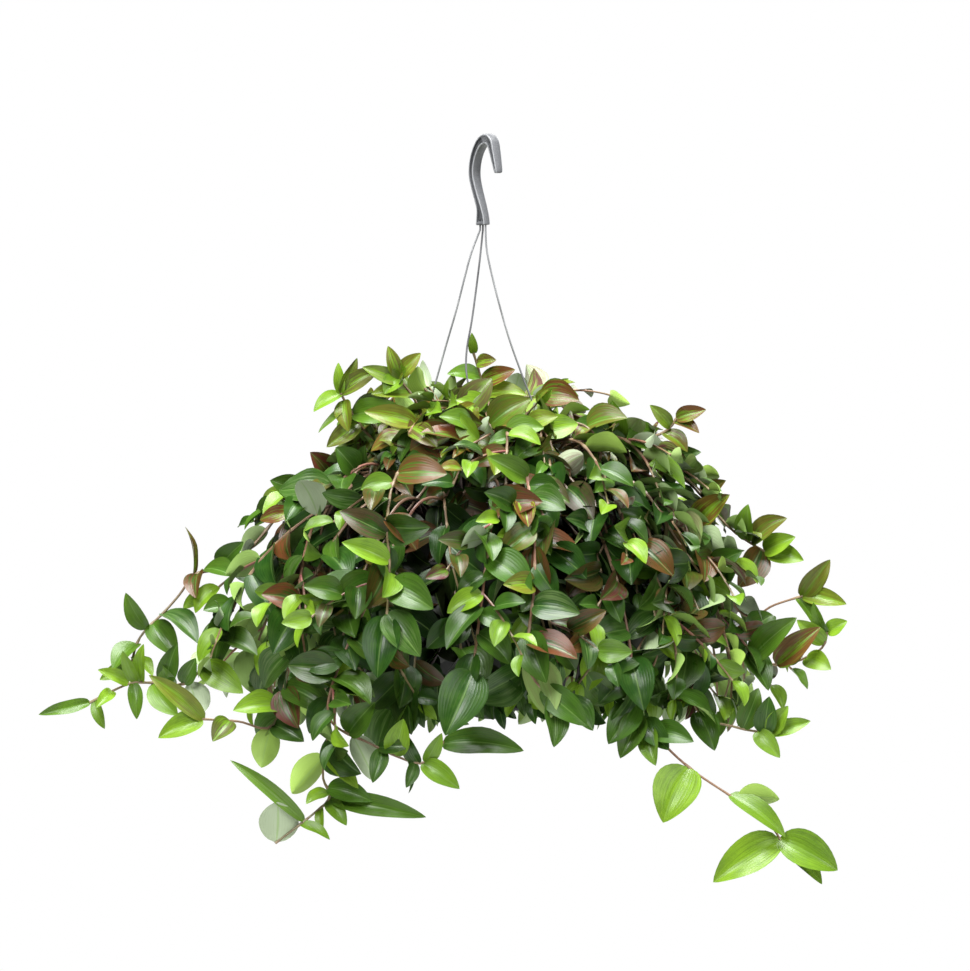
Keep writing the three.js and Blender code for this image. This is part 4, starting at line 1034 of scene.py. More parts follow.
# Leaves of the looks alone on the leading stems, where the photo shows them, in the same form.
EXTRA_LEAVES = {
    "stem_top_middle": (
        (3.2, (24, -34, -192), 17, FRONT), (2.9, (34, -36, -214), 18, LEAN_RIGHT),
        (3.3, (-34, -34, -196), 16, LEAN_LEFT),
    ),
    "stem_top_far_left": (
        (3.6, (-136, -40, -258), 18, FRONT), (4.97, (-110, -38, -182), 12, LEAN_RIGHT),
    ),
    "stem_top_left": ((3.97, (-84, -44, -172), 13, FRONT),),
    "stem_top_right": ((4.3, (138, -22, -222), 13, FRONT), (4.6, (180, -22, -246), 13, LEAN_RIGHT),),
    "stem_left_low": (
        (5.6, (-262, -98, -424), 18, FRONT), (6.3, (-290, -100, -424), 14, LEAN_LEFT),
        (6.6, (-308, -100, -430), 13, LEAN_LEFT), (6.8, (-296, -98, -488), 13, FRONT),
    ),
    "stem_front_left": ((5.9, (-56, -250, -434), 30, FRONT), (6.0, (-92, -248, -452), 32, FRONT),),
    "stem_front_far_left": (
        (3.1, (-158, -160, -286), 26, UNDERSIDE), (4.3, (-180, -184, -432), 34, FRONT),
    ),
    "stem_front_middle": ((3.9, (-34, -252, -428), 26, LEAN_LEFT),),
    "stem_front_right": ((4.6, (50, -248, -456), 30, LEAN_LEFT),),
    "stem_left_front": ((4.3, (-130, -180, -482), 30, FRONT),),
    "stem_bottom_right": (
        (4.2, (132, -190, -480), 32, FRONT), (5.1, (112, -186, -520), 24, FRONT),
        (5.6, (142, -190, -526), 20, LEAN_LEFT), (8.1, (246, -196, -554), 22, UNDERSIDE),
    ),
    "stem_bottom_middle": (
        (4.0, (-98, -240, -474), 30, LEAN_RIGHT), (7.9, (-38, -230, -498), 14, LEAN_RIGHT),
        (7.5, (-68, -230, -498), 15, LEAN_LEFT),
    ),
    "stem_bottom_left": ((8.3, (-132, -212, -588), 12, LEAN_RIGHT),),
    "stem_right_side": ((7.4, (262, -76, -404), 16, LEAN_LEFT),),
    "stem_right_upper": ((4.8, (262, -4, -334), 20, FRONT),),
    "stem_right_low": ((6.9, (254, -142, -476), 17, FRONT),),
}

CROWN = ((0, -358), (3, -300), (14, -240), (38, -210), (70, -210), (98, -236))
CAP = ((0, -358), (3, -305), (14, -262), (40, -240), (74, -242), (102, -264))
SHOULDER = ((0, -358), (6, -306), (36, -264), (88, -250), (130, -284), (162, -330), (186, -380))
SKIRT = ((0, -358), (8, -312), (54, -284), (112, -290), (166, -332), (202, -382), (224, -432),
         (224, -472))
APRON = ((0, -358), (6, -318), (34, -304), (64, -326), (84, -372), (92, -424), (92, -472))
VEIL = ((0, -358), (8, -312), (42, -286), (92, -290), (138, -326), (166, -374), (182, -424), (182, -464))
HEART = ((0, -358), (1, -322), (-2, -286), (4, -256), (14, -232), (34, -222))
FILL_SHAPES = {
    "heart": (16, HEART),
    "crown": (26, CROWN),
    "shoulder": (46, SHOULDER),
    "skirt": (66, SKIRT),
    "apron": (72, APRON),
    "veil": (58, VEIL),
    "cap": (30, CAP),
}
FILLING_STEMS = (
    (2, "shoulder"), (14, "cap"), (22, "skirt"), (33, "shoulder"), (42, "skirt"), (51, "crown"),
    (60, "skirt"), (-68, "apron"), (78, "skirt"), (87, "crown"), (96, "skirt"), (-111, "apron"),
    (114, "skirt"), (123, "crown"), (132, "skirt"), (-42, "apron"), (153, "skirt"), (161, "crown"),
    (170, "shoulder"), (178, "skirt"), (-171, "crown"), (-160, "skirt"), (-109, "cap"),
    (-85, "shoulder"), (-78, "skirt"), (-62, "cap"), (-50, "shoulder"), (-47, "skirt"), (-26, "skirt"),
    (-33, "cap"), (-11, "shoulder"), (-141, "cap"), (69, "shoulder"), (105, "shoulder"), (-16, "apron"),
)
LEAF_TRIES = (
    (0, 0, 1), (0, 0.35, 1), (0.4, 0.15, 1), (-0.4, 0.15, 1), (0.3, 0.6, 0.92), (-0.3, 0.6, 0.92),
    (0, -0.35, 0.9), (0.7, 0.3, 0.85), (-0.7, 0.3, 0.85), (0, 1, 0.8),
)


def draws(seed):
    """A seeded row of draws between 0 and 1, the same as in the part's source."""
    state = seed
    while True:
        state = state * DRAW_FACTOR % DRAW_MODULUS
        yield state / DRAW_MODULUS


def drawn(value, draw):
    """A plain value as it is, or one drawn from a pair: the least and how much the draw may add to it."""
    return value[0] + value[1] * draw() if isinstance(value, tuple) else value


def drawn_vector(draw):
    """A vector with each of its values drawn between -0.5 and 0.5."""
    return np.array((draw() - 0.5, draw() - 0.5, draw() - 0.5))


class Stem:
    def __init__(self, name, leafy, route, shown):
        self.name = name
        self.leafy = leafy
        self.route = np.array(route, dtype=float)
        self.shown = shown
        self.end = len(route) - 1

    def along(self, place):
        return smooth_row(self.route, place)

    def heading(self, place):
        after = self.along(min(place + HEADING_STEP, self.end))
        return unit(after - self.along(max(place - HEADING_STEP, 0)))


class Leaf:
    def __init__(self, base, tip, width, face):
        self.base = base
        self.tip = tip
        self.width = width
        self.face = unit(np.array(face, dtype=float))
        self.length = np.linalg.norm(tip - base)

    def axes(self):
        ahead = unit(self.tip - self.base)
        up = unit(self.face - ahead * self.face.dot(ahead))
        return ahead, up, np.cross(ahead, up)


def shaped_route(angle, kind, draw, reaches=FILL_REACH):
    """A route from a hole in the soil along one of the mound's shapes, in the plane of its own angle."""
    root_circle, rows = FILL_SHAPES[kind]
    reach = drawn(reaches, draw)
    route = []
    for row, (out, z) in enumerate(rows):
        radius = root_circle + max(out * reach - root_circle * min(out / FULL_OUT, 1), 0)
        wobble = drawn(FILL_WOBBLE, draw) if row >= FIRST_WOBBLE_ROW else 0
        rise = drawn(FILL_RISE, draw) if row >= FIRST_RISE_ROW else 0
        point = polar(radius, angle + math.degrees(wobble / radius), z + rise)
        route.append(point + np.array((MOUND_LEAN * out / FULL_OUT, 0, 0)))
    return route


def filling_stem(angle, kind, i):
    draw = draws(FILL_SEED + FILL_SEED_STEP * i).__next__
    route = shaped_route(angle, kind, draw)
    return Stem(f"stem_{kind}_{i + 1:02d}", (FILL_LEAVES_FROM, len(route) - 1), route, ())


def outward(point):
    from_axis = unit(np.array((point[0], point[1], 0)))
    return unit((point - MOUND_CENTRE) / MOUND_REACH + FROM_AXIS * from_axis + TO_LIGHT)


def tilted(face, amount, draw):
    return unit(face + amount * drawn_vector(draw))


def beside(ahead, out, i):
    """The way square to a stem and to the outside: to one hand for an odd leaf and the other for an even."""
    return unit(np.cross(ahead, out)) * (1 if i % 2 else -1)


# How leaves grow: how far their tips go ahead, sideways and outwards, how far their faces turn to the side
# and how wide they are for their length.
Habit = namedtuple("Habit", "ahead sideways outward turn width")
RULED = Habit(LEAF_AHEAD, LEAF_SIDEWAYS, LEAF_OUTWARD, LEAF_TURN, LEAF_WIDTH)


def drawn_leaf(base, ways, length, habit, draw, droop=0):
    ahead, side, out = ways
    way = ahead * drawn(habit.ahead, draw) + side * drawn(habit.sideways, draw)
    way = unit(way + out * drawn(habit.outward, draw) - np.array((0, 0, droop)))
    face = tilted(unit(out + side * drawn(habit.turn, draw)), LEAF_TILT, draw)
    return Leaf(base, base + way * length, length * drawn(habit.width, draw), face)


def leaf_places(stem, pitch=LEAF_PITCH):
    places = []
    travelled = 0
    place, stop = stem.leafy
    last = stem.along(place)
    while place <= stop:
        point = stem.along(place)
        travelled += np.linalg.norm(point - last)
        last = point
        if travelled >= pitch:
            travelled = 0
            places.append(place)
        place += LEAF_STEP
    return places


def skeleton_of(stem, roots):
    ordered = sorted(roots)
    between = [(a + b) / 2 for a, b in zip(ordered, ordered[1:]) if b - a > ROOTS_APART]
    places = sorted([*range(int(stem.leafy[0]) + 1), *between, stem.end])
    apart = [p for k, p in enumerate(places) if k == 0 or p - places[k - 1] > BENDS_APART]
    return apart, [stem.along(p) for p in apart]


def root_point(skeleton, place):
    places, points = skeleton
    following = max(next(k for k, other in enumerate([*places, math.inf]) if other > place), 1)
    if following == len(places):
        return points[-1]
    t = (place - places[following - 1]) / (places[following] - places[following - 1])
    return points[following - 1] + (points[following] - points[following - 1]) * t


def ruled_leaf(stem, base, place, i, draw):
    ahead = stem.heading(place)
    out = outward(base)
    low = share(base[2], HIGH_LEAF_Z, LOW_LEAF_Z)
    low = low * low * (3 - 2 * low)
    tipward = (place / stem.end) ** TIPWARD_POWER
    grown = (LEAF_LENGTH + LOW_LEAF_GROWTH * low) * (1 - TIP_LEAF_SHRINK * tipward)
    length = grown * drawn(LEAF_LENGTH_SPREAD, draw)
    return drawn_leaf(base, (ahead, beside(ahead, out, i), out), length, RULED, draw, LOW_LEAF_DROOP * low)


def tried_leaf(leaf, turn, lift, size):
    chord = leaf.tip - leaf.base
    side = unit(np.cross(chord, leaf.face))
    ahead = unit(unit(chord) + side * turn + leaf.face * lift)
    return Leaf(leaf.base, leaf.base + ahead * leaf.length * size, leaf.width * size, leaf.face)


def shown_leaf(base, tip, width, face):
    return Leaf(base, np.array(tip, dtype=float), width, face)


MATCH_DISTANCE = 0.3


def node_surface(name):
    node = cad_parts[name]
    points = [node.matrix_world @ vertex.co for vertex in node.data.vertices]
    return BVHTree.FromPolygons(points, [tuple(face.vertices) for face in node.data.polygons])


def stands_in(surface, leaf):
    """Whether the part's own stem has this leaf: its tip and one edge at least lie on the solid."""
    ahead, up, side = leaf.axes()
    lift = leaf.length * BLADE_BOW * arch(BLADE_WIDEST) + leaf.width * BLADE_FOLD
    middle = leaf.base + ahead * leaf.length * BLADE_WIDEST + up * lift
    marks = [leaf.tip, middle + side * leaf.width / 2, middle - side * leaf.width / 2]
    near = [surface.find_nearest(Vector(mark * MM))[3] < MATCH_DISTANCE * MM for mark in marks]
    return near[0] and (near[1] or near[2])


def own_leaves(stem, i):
    """The leaves of the part's stem, each with its place, and the ones that it had no room for."""
    draw = draws(LEAF_SEED + LEAF_SEED_STEP * i).__next__
    clear = [p for p in leaf_places(stem) if all(
        np.linalg.norm(stem.along(row[0]) - stem.along(p)) > SHOWN_CLEAR for row in stem.shown)]
    skeleton = skeleton_of(stem, [row[0] for row in stem.shown] + clear)
    wanted = [(place, shown_leaf(root_point(skeleton, place), *row)) for place, *row in stem.shown]
    wanted += [(place, ruled_leaf(stem, root_point(skeleton, place), place, k, draw))
               for k, place in enumerate(clear)]
    surface = node_surface(stem.name)
    kept = []
    left_out = []
    for place, leaf in wanted:
        tries = [tried_leaf(leaf, *step) for step in LEAF_TRIES]
        fitted = next((candidate for candidate in tries if stands_in(surface, candidate)), None)
        if fitted is None:
            left_out.append((place, tries[1]))
        else:
            kept.append((place, fitted))
    return kept, left_out


# Fine leaves: an upper and a lower skin that meet along the edge and are split into triangles alike, so
# that neither shows through the other. Rows run from the base to the tip and columns from edge to edge.
# The numbers are those of a leafy stem's materials.
ROWS = np.array((0.0, 0.04, 0.1, 0.18, 0.27, 0.37, 0.48, 0.59, 0.7, 0.8, 0.89, 0.96))[:, None]
COLUMNS = np.array((-1.0, -0.68, -0.32, 0.0, 0.32, 0.68, 1.0))[None, :]
HALF_THICKNESS = 0.2
THIN_EDGE_POWER = 3
THIN_TIP = 4
OUTLINE_BASE = 0.56
OUTLINE_TIP = 0.82
OUTLINE_PEAK = OUTLINE_BASE / (OUTLINE_BASE + OUTLINE_TIP)
STALK_HALF_WIDTH = 1.1
STALK_POWER = 9
FOLD_SPREAD = (0.75, 0.5)
FOLD_POWER = 1.35
SICKLE = 0.07
TWIST = 0.5
TWIST_FROM = 0.3
WAVE = 0.035
WAVES_ALONG = 9
UPPER_NUMBER, UNDER_NUMBER, STEM_NUMBER = range(3)


def leaf_faces():
    rows, columns = ROWS.size, COLUMNS.size
    tip = rows * columns

    def lower(row, column):
        inner = row > 0 and 0 < column < columns - 1
        return tip + 1 + (row - 1) * (columns - 2) + column - 1 if inner else row * columns + column

    faces = []
    for row in range(rows - 1):
        for column in range(columns - 1):
            a, b = (row, column), (row, column + 1)
            c, d = (row + 1, column + 1), (row + 1, column)
            halves = ((a, b, c), (a, c, d)) if column < columns // 2 else ((a, b, d), (b, c, d))
            for corners in halves:
                faces.append(tuple(r * columns + k for r, k in corners))
                faces.append(tuple(lower(r, k) for r, k in reversed(corners)))
    for column in range(columns - 1):
        last = (rows - 1) * columns + column
        faces.append((last, last + 1, tip))
        faces.append((lower(rows - 1, column + 1), lower(rows - 1, column), tip))
    return faces


LEAF_FACES = leaf_faces()
LEAF_PICKS = [UPPER_NUMBER, UNDER_NUMBER] * (len(LEAF_FACES) // 2)
LEAF_GRID = np.stack(np.broadcast_arrays(COLUMNS, ROWS), axis=-1)


def both_skins(top, tip, low):
    """One row of points: the upper skin's, the tip's and the lower skin's own."""
    return np.concatenate((top.reshape(-1, 3), [tip], low[1:, 1:-1].reshape(-1, 3)))


def add_leaf(build, leaf, look, draw):
    """A blade on the leaf's own lines, with its wave, its sideways bend and its twist drawn for it."""
    ahead, up, side = leaf.axes()
    sickle = SICKLE * (draw() - 0.5)
    twist = TWIST * (draw() - 0.5)
    wave = WAVE * draw()
    turn = 2 * math.pi * draw()
    fold = BLADE_FOLD * drawn(FOLD_SPREAD, draw)
    number = draw()
    t = ROWS
    outline = (t / OUTLINE_PEAK) ** OUTLINE_BASE * ((1 - t) / (1 - OUTLINE_PEAK)) ** OUTLINE_TIP
    half = leaf.width / 2 * outline + STALK_HALF_WIDTH * (1 - t) ** STALK_POWER
    across = COLUMNS * half
    bowed = leaf.length * BLADE_BOW * arch(t)
    folded = 2 * half * fold * np.abs(COLUMNS) ** FOLD_POWER
    waved = leaf.length * wave * np.sin(WAVES_ALONG * t + turn) * COLUMNS ** 2 * outline
    angle = twist * (t - TWIST_FROM)
    aside = across * np.cos(angle) + leaf.length * sickle * arch(t)
    lift = bowed + folded + waved + across * np.sin(angle)
    thick = HALF_THICKNESS * (1 - np.abs(COLUMNS) ** THIN_EDGE_POWER) * np.minimum(1, THIN_TIP * (1 - t))
    thick = thick * (t > 0)

    middle = leaf.base + (leaf.length * t)[..., None] * ahead + aside[..., None] * side

    def sheet(raised):
        return middle + raised[..., None] * up

    points = both_skins(sheet(lift + thick), leaf.tip, sheet(lift - thick))
    places = np.insert(LEAF_GRID, 2, number, axis=-1)
    places = both_skins(places, (0, 1, number), places)
    build.add(points, LEAF_FACES, LEAF_PICKS, np.broadcast_to(look, points.shape), places)


STEM_SIDES = 7
STEM_STEP = 4.5
ROUTE_STEP = 0.05
JOINT_SWELL = 0.45
JOINT_LENGTH = 3.0
STEM_FRESH = 0.5


def add_stem(build, route, joints, radii, red, fresh):
    """A round stem along a row of points, from its first radius to its last, swollen and pale where its
    leaves grow."""
    first, last = radii
    swollen = []
    looks = []
    for k, point in enumerate(route):
        t = k / (len(route) - 1)
        near = min((np.linalg.norm(point - joint) for joint in joints), default=math.inf)
        joint = math.exp(-(near / JOINT_LENGTH) ** 2)
        depth = depth_of(point)
        swollen.append((first + (last - first) * t) * (1 + JOINT_SWELL * joint))
        # Deep inside the mass the redness falls below zero: painted shade on the stem.
        looks.append((red * (1 - depth) - depth, fresh * t, joint))
    points, faces = tube(route, swollen, STEM_SIDES)
    looks = np.repeat(np.array(looks), STEM_SIDES, axis=0)
    build.add(points, faces, [STEM_NUMBER] * len(faces), looks, looks)


def fine_route(stem):
    """The stem in short, even steps."""
    points = [stem.along(0)]
    place = 0.0
    while place < stem.end:
        place = min(place + ROUTE_STEP, stem.end)
        point = stem.along(place)
        if np.linalg.norm(point - points[-1]) >= STEM_STEP or place == stem.end:
            points.append(point)
    return points


# How the looks run over the plant: bronze and bright leaves on top, deep green ones low down, painted
# shade inside, and fresh ones at the ends of the stems. The bands are partly the leaves' own colours and
# partly painted light: high leaves are made brighter and low ones darker, as light falls from above.
# Each row holds the height that it starts at, the share of leaves with a flush, the share of fresh ones
# and how fresh the others are at least.
LOOK_BANDS = (
    (-265, 0.55, 0.8, 0.28), (-340, 0.38, 0.32, 0.08), (-400, 0.22, 0.14, 0.02), (-math.inf, 0.07, 0.08, 0),
)
MASS_CENTRE = np.array((6.0, 0.0, -388.0))
MASS_HALF = np.array((236.0, 225.0, 168.0))
DEEP_FROM = 0.95
DEEP_TO = 0.68
BARE_FROM = 1.02
BARE_TO = 1.3
YOUNG_WIDTH = 22
OLD_WIDTH = 30
FLUSH = (0.4, 0.6)
FAINT_FLUSH = 0.1
TIPWARD_FRESH = 0.3
BARE_FRESH = 0.5
YOUNG_FRESHNESS = (0.5, 0.5)
OLD_FRESHNESS = 0.3
BARE_FRESHNESS = 0.6
# How far painted shade darkens a leaf deep inside the mass, and how far it fades the leaf's flush.
DEEP_SHADE = 0.6
DEEP_FADE = 0.4


def depth_of(point):
    """From 0 on the outside of the mass of leaves to 1 well inside it, where it sets the painted shade."""
    return share(np.linalg.norm((point - MASS_CENTRE) / MASS_HALF), DEEP_FROM, DEEP_TO)


def bareness_of(point):
    """From 0 in front of the mass, as it shows from the front, to 1 well clear of it."""
    return share(np.linalg.norm(((point - MASS_CENTRE) / MASS_HALF)[[0, 2]]), BARE_FROM, BARE_TO)


def leaf_look(leaf, tipward, draw):
    flushed, bright, least = next(row[1:] for row in LOOK_BANDS if leaf.base[2] > row[0])
    bronze = drawn(FLUSH, draw) if draw() < flushed else FAINT_FLUSH * draw()
    depth = depth_of(leaf.tip)
    bare = bareness_of(leaf.tip)
    young = share(leaf.width, OLD_WIDTH, YOUNG_WIDTH)
    if draw() < young * (bright + TIPWARD_FRESH * tipward ** TIPWARD_POWER + BARE_FRESH * bare):
        fresh = drawn(YOUNG_FRESHNESS, draw)
    else:
        fresh = drawn((least, OLD_FRESHNESS), draw) + BARE_FRESHNESS * bare
    # Deep inside, a leaf is painted darker: partly older leaves' deeper green, partly painted shade, flush
    # faded.
    return (fresh * (1 - depth) - DEEP_SHADE * depth, bronze * (1 - DEEP_FADE * depth), draw())


# Added leaves stay in the part's box, or nearly, and in the mass as the front shows it, across and up.
ROOM = 14.0
BOX_LOW = np.array(CAD_BOX[0]) / MM - ROOM
BOX_HIGH = np.array(CAD_BOX[1]) / MM + ROOM
MASS_OUTLINE = (
    (-152, -192), (-60, -170), (20, -172), (95, -196), (140, -222), (196, -258), (250, -312), (286, -360),
    (296, -450), (255, -512), (180, -512), (30, -492), (-60, -540), (-140, -590), (-215, -590),
    (-215, -512), (-290, -505), (-330, -440), (-240, -350), (-190, -288), (-155, -240),
)


def in_outline(x, z):
    """Whether a point lies in the outline: a line to its left then crosses the outline's sides once."""
    inside = False
    for (x1, z1), (x2, z2) in zip(MASS_OUTLINE, MASS_OUTLINE[1:] + MASS_OUTLINE[:1]):
        if (z1 > z) != (z2 > z) and x > x1 + (z - z1) / (z2 - z1) * (x2 - x1):
            inside = not inside
    return inside


def has_room(leaf):
    boxed = np.all(leaf.tip > BOX_LOW) and np.all(leaf.tip < BOX_HIGH)
    return bool(boxed) and in_outline(leaf.tip[0], leaf.tip[2])


def add_looked(build, leaf, tipward, draw):
    add_leaf(build, leaf, leaf_look(leaf, tipward, draw), draw)


ADDED_TILT = 1.0
ADDED_TURN = (-0.8, 1.6)
ADDED_LIFT = (-0.55, 0.9)
ADDED_SIZE = (0.62, 0.55)
ADDED_APART = 16


def added_leaf(stem, place, k, draw):
    """A leaf of the looks alone, by the part's rule and then turned, lifted, tilted and resized."""
    leaf = ruled_leaf(stem, stem.along(place), place, k, draw)
    turned = tried_leaf(leaf, drawn(ADDED_TURN, draw), drawn(ADDED_LIFT, draw), drawn(ADDED_SIZE, draw))
    return Leaf(turned.base, turned.tip, turned.width, tilted(turned.face, ADDED_TILT, draw))


def between_leaves(stem, places, draw):
    """Added leaves half way between the part's own."""
    ordered = sorted(places)
    leaves = []
    for k, (a, b) in enumerate(zip(ordered, ordered[1:])):
        if np.linalg.norm(stem.along(a) - stem.along(b)) > ADDED_APART:
            place = (a + b) / 2
            leaves.append((place, added_leaf(stem, place, k, draw)))
    return leaves


END_HABIT = Habit(ahead=1, sideways=(0.2, 0.3), outward=(-0.12, 0.4), turn=0.5, width=0.45)
END_LEAVES = 2
END_LEAF_LENGTH = (17, 9)


def add_end(build, stem, draw):
    """The young leaves that close the end of a stem."""
    base = stem.along(stem.end)
    ahead = stem.heading(stem.end)
    out = outward(base)
    for i in range(END_LEAVES):
        length = drawn(END_LEAF_LENGTH, draw)
        leaf = drawn_leaf(base, (ahead, beside(ahead, out, i), out), length, END_HABIT, draw)
        if has_room(leaf):
            add_looked(build, leaf, 1.0, draw)


# Side shoots: how a shoot leaves its stem, and then how its own leaves grow from its first to its last.
SHOOT_EVERY = 3
SHOOT_CLEAR = 0.8
SHOOT_AHEAD = (0.35, 0.5)
SHOOT_SIDEWAYS = (0.4, 0.6)
SHOOT_OUTWARD = (0.1, 0.45)
SHOOT_LENGTH = (38, 34)
SHOOT_DROOP = 0.3
SHOOT_STEPS = 12
SHOOT_RADII = (1.1, 0.7)
SHOOT_FRESH = 0.6
SHOOT_LEAVES_FROM = 0.3
SHOOT_LEAF_LENGTH = 33
SHOOT_LEAF_SHRINK = 3
SHOOT_LEAF_SPREAD = (0.85, 0.3)
SHOOT_TIPWARD = 0.5
SHOOT_HABITS = [
    Habit(ahead=ahead, sideways=0.8, outward=(0.1, 0.3), turn=(-0.24, 0.6), width=(0.55, 0.12))
    for ahead in (0.5, 0.8, 1.1, 1.4)
]


def add_shoot(build, stem, place, k, draw):
    """A short side shoot with its own leaves, from a joint of the stem."""
    base = stem.along(place)
    ahead = stem.heading(place)
    out = outward(base)
    side = beside(ahead, out, k)
    way = ahead * drawn(SHOOT_AHEAD, draw) + side * drawn(SHOOT_SIDEWAYS, draw)
    way = unit(way + out * drawn(SHOOT_OUTWARD, draw))
    length = drawn(SHOOT_LENGTH, draw)
    reach = way * length
    drop = np.array((0, 0, -SHOOT_DROOP * length))
    joints = []
    grown = 0
    for i, habit in enumerate(SHOOT_HABITS):
        t = SHOOT_LEAVES_FROM + (1 - SHOOT_LEAVES_FROM) * i / (len(SHOOT_HABITS) - 1)
        root = base + reach * t + drop * t * t
        forward = unit(reach + 2 * drop * t)
        size = (SHOOT_LEAF_LENGTH - SHOOT_LEAF_SHRINK * i) * drawn(SHOOT_LEAF_SPREAD, draw)
        leaf = drawn_leaf(root, (forward, beside(forward, out, i), out), size, habit, draw)
        if has_room(leaf):
            grown = t
            joints.append(root)
            add_looked(build, leaf, SHOOT_TIPWARD + (1 - SHOOT_TIPWARD) * t, draw)
    if joints:
        steps = [grown * step / SHOOT_STEPS for step in range(SHOOT_STEPS + 1)]
        route = [base + reach * t + drop * t * t for t in steps]
        add_stem(build, route, joints, SHOOT_RADII, draw(), SHOOT_FRESH)


def add_branch(build, stem, leaves, radii, draw):
    """A stem with its leaves at their places on it."""
    for place, leaf in leaves:
        leaf = Leaf(stem.along(place), leaf.tip, leaf.width, leaf.face)
        add_looked(build, leaf, place / stem.end, draw)
    joints = [stem.along(place) for place, leaf in leaves]
    add_stem(build, fine_route(stem), joints, radii, draw(), STEM_FRESH)


LOOK_SEED = 90001
LOOK_SEED_STEP = 613


def grow_part_stem(stem, i, materials):
    """One of the part's stems with its leaves, and the leaves and shoots that are added to it."""
    draw = draws(LOOK_SEED + LOOK_SEED_STEP * i).__next__
    build = Build()
    kept, left_out = own_leaves(stem, i)
    leafy_places = sorted(place for place, leaf in kept + left_out if place <= stem.leafy[1])
    added = between_leaves(stem, leafy_places, draw) + left_out
    added = [(place, leaf) for place, leaf in added if has_room(leaf)]
    added += [(place, shown_leaf(stem.along(place), *row)) for place, *row in EXTRA_LEAVES.get(stem.name, ())]
    add_branch(build, stem, kept + added, (STEM_RADIUS, STEM_TIP_RADIUS), draw)
    if not stem.shown:
        add_end(build, stem, draw)
    for k, place in enumerate(leafy_places):
        if k % SHOOT_EVERY == 1 and place < stem.leafy[1] - SHOOT_CLEAR:
            add_shoot(build, stem, place, k, draw)
    build.finish(f"fine_{stem.name}", materials, "leafy_stem", (stem.name,))


# Stems of the looks alone: how many follow each shape, and how far each reaches, swings and strays.
ADDED_STEMS = (("apron", 30), ("veil", 34), ("shoulder", 26), ("skirt", 14), ("cap", 26), ("heart", 14))
ADDED_SEED = 52001
ADDED_SEED_STEP = 389
ADDED_KIND_STEP = 100
GOLDEN_ANGLE = 137.508
ADDED_KIND_ANGLE = 47
ADDED_PITCH = 22
ADDED_REACH = (0.78, 0.3)
ADDED_SWING = 84
ADDED_JITTER = 22
ADDED_RADII = (1.3, 0.8)


def wandered(route, draw):
    """A route that swings aside as it goes and strays a little at each of its later waypoints."""
    swing = ADDED_SWING * (draw() - 0.5)
    strayed = []
    for row, point in enumerate(route):
        t = max(row - 1, 0) / (len(route) - 2)
        turn = math.radians(swing * t)
        x = point[0] * math.cos(turn) - point[1] * math.sin(turn)
        y = point[0] * math.sin(turn) + point[1] * math.cos(turn)
        strayed.append(np.array((x, y, point[2])) + ADDED_JITTER * min(t * 2, 1) * drawn_vector(draw))
    return strayed


def grow_added_stems(kind, count, k, materials):
    """Stems of the looks alone, spread all round by the golden angle, that thicken the mass."""
    for i in range(count):
        draw = draws(ADDED_SEED + ADDED_SEED_STEP * (ADDED_KIND_STEP * k + i)).__next__
        angle = GOLDEN_ANGLE * i + ADDED_KIND_ANGLE * k
        route = wandered(shaped_route(angle, kind, draw, ADDED_REACH), draw)
        stem = Stem(f"added_{kind}_{i + 1:02d}", (FILL_LEAVES_FROM, len(route) - 1), route, ())
        build = Build()
        places = leaf_places(stem, ADDED_PITCH)
        leaves = [(place, added_leaf(stem, place, n, draw)) for n, place in enumerate(places)]
        leaves = [(place, leaf) for place, leaf in leaves if has_room(leaf)]
        add_branch(build, stem, leaves, ADDED_RADII, draw)
        add_end(build, stem, draw)
        build.finish(stem.name, materials, "leafy_stem")


def make_foliage(materials):
    stems = [Stem(*row) for row in LEADING_STEMS]
    stems += [filling_stem(angle, kind, i) for i, (angle, kind) in enumerate(FILLING_STEMS)]
    for i, stem in enumerate(stems):
        grow_part_stem(stem, i, materials)
    for k, (kind, count) in enumerate(ADDED_STEMS):
        grow_added_stems(kind, count, k, materials)


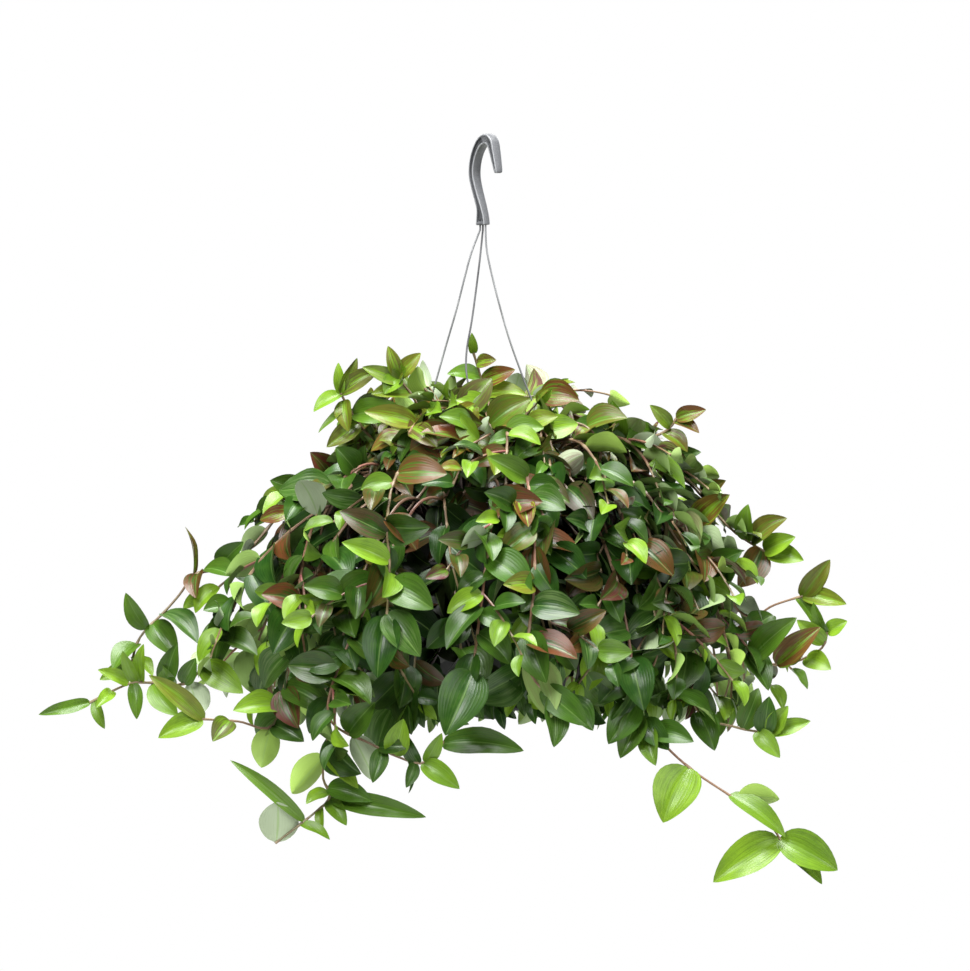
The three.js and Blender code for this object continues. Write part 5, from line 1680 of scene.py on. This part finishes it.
# Light: a plain, bright studio with soft light from the upper left in front. Each light has its name, its
# place and the length of its side in metres, and its power in watts.
LIT_PLACE = (0, 0, -0.35)
LIGHTS = (
    ("key", (-1.1, -2.0, 1.3), 1.1, 78),
    ("fill", (2.1, -1.9, 0.5), 1.6, 38),
    ("top", (0.0, -0.5, 2.0), 1.5, 188),
    ("rim", (0.9, 2.0, 0.9), 1.5, 36),
)
WHITE = (1, 1, 1, 1)
WORLD_LIGHT = 0.08
WORLD_BACKDROP = 1.0


def make_area_light(name, place, size, power):
    light = bpy.data.objects.new(name, bpy.data.lights.new(name, "AREA"))
    bpy.context.collection.objects.link(light)
    light.location = place
    light.rotation_euler = (Vector(LIT_PLACE) - Vector(place)).to_track_quat("-Z", "Y").to_euler()
    light.data.size = size
    light.data.energy = power


def make_world():
    """A white backdrop that adds only a little light of its own."""
    world = bpy.data.worlds.new("studio")
    bpy.context.scene.world = world
    world.use_nodes = True
    tree = world.node_tree
    background = tree.nodes["Background"]
    path = tree.nodes.new("ShaderNodeLightPath")
    strength = tree.nodes.new("ShaderNodeMapRange")
    tree.links.new(path.outputs["Is Camera Ray"], strength.inputs["Value"])
    strength.inputs["To Min"].default_value = WORLD_LIGHT
    strength.inputs["To Max"].default_value = WORLD_BACKDROP
    tree.links.new(strength.outputs["Result"], background.inputs["Strength"])
    background.inputs["Color"].default_value = WHITE


FLOOR_Z = -1250.0
FLOOR_HALF = 3000.0
FLOOR_GREY = (0.7, 0.7, 0.7, 1)
FLOOR_ROUGHNESS = 0.9


def make_floor():
    mesh = bpy.data.meshes.new("floor")
    corners = [(MM * FLOOR_HALF * x, MM * FLOOR_HALF * y, MM * FLOOR_Z) for x, y in SQUARE]
    mesh.from_pydata(corners, [], [(0, 1, 2, 3)])
    floor = bpy.data.objects.new("floor", mesh)
    bpy.context.collection.objects.link(floor)
    material = bpy.data.materials.new("floor_pale")
    material.use_nodes = True
    shader = material.node_tree.nodes["Principled BSDF"]
    shader.inputs["Base Color"].default_value = FLOOR_GREY
    shader.inputs["Roughness"].default_value = FLOOR_ROUGHNESS
    mesh.materials.append(material)


bpy.context.scene.view_settings.view_transform = "Standard"
make_world()
for row in LIGHTS:
    make_area_light(*row)
make_floor()
pot_plastic = pot_material()
make_hook(hook_material())
# Painted shade: thin black squares for the hook's two small slots.
make_slot_shades(pot_plastic)
make_wires(wire_materials())
make_pot(pot_plastic)
make_soil(soil_material())
make_foliage([upper_leaf_material(), under_leaf_material(), stem_material()])
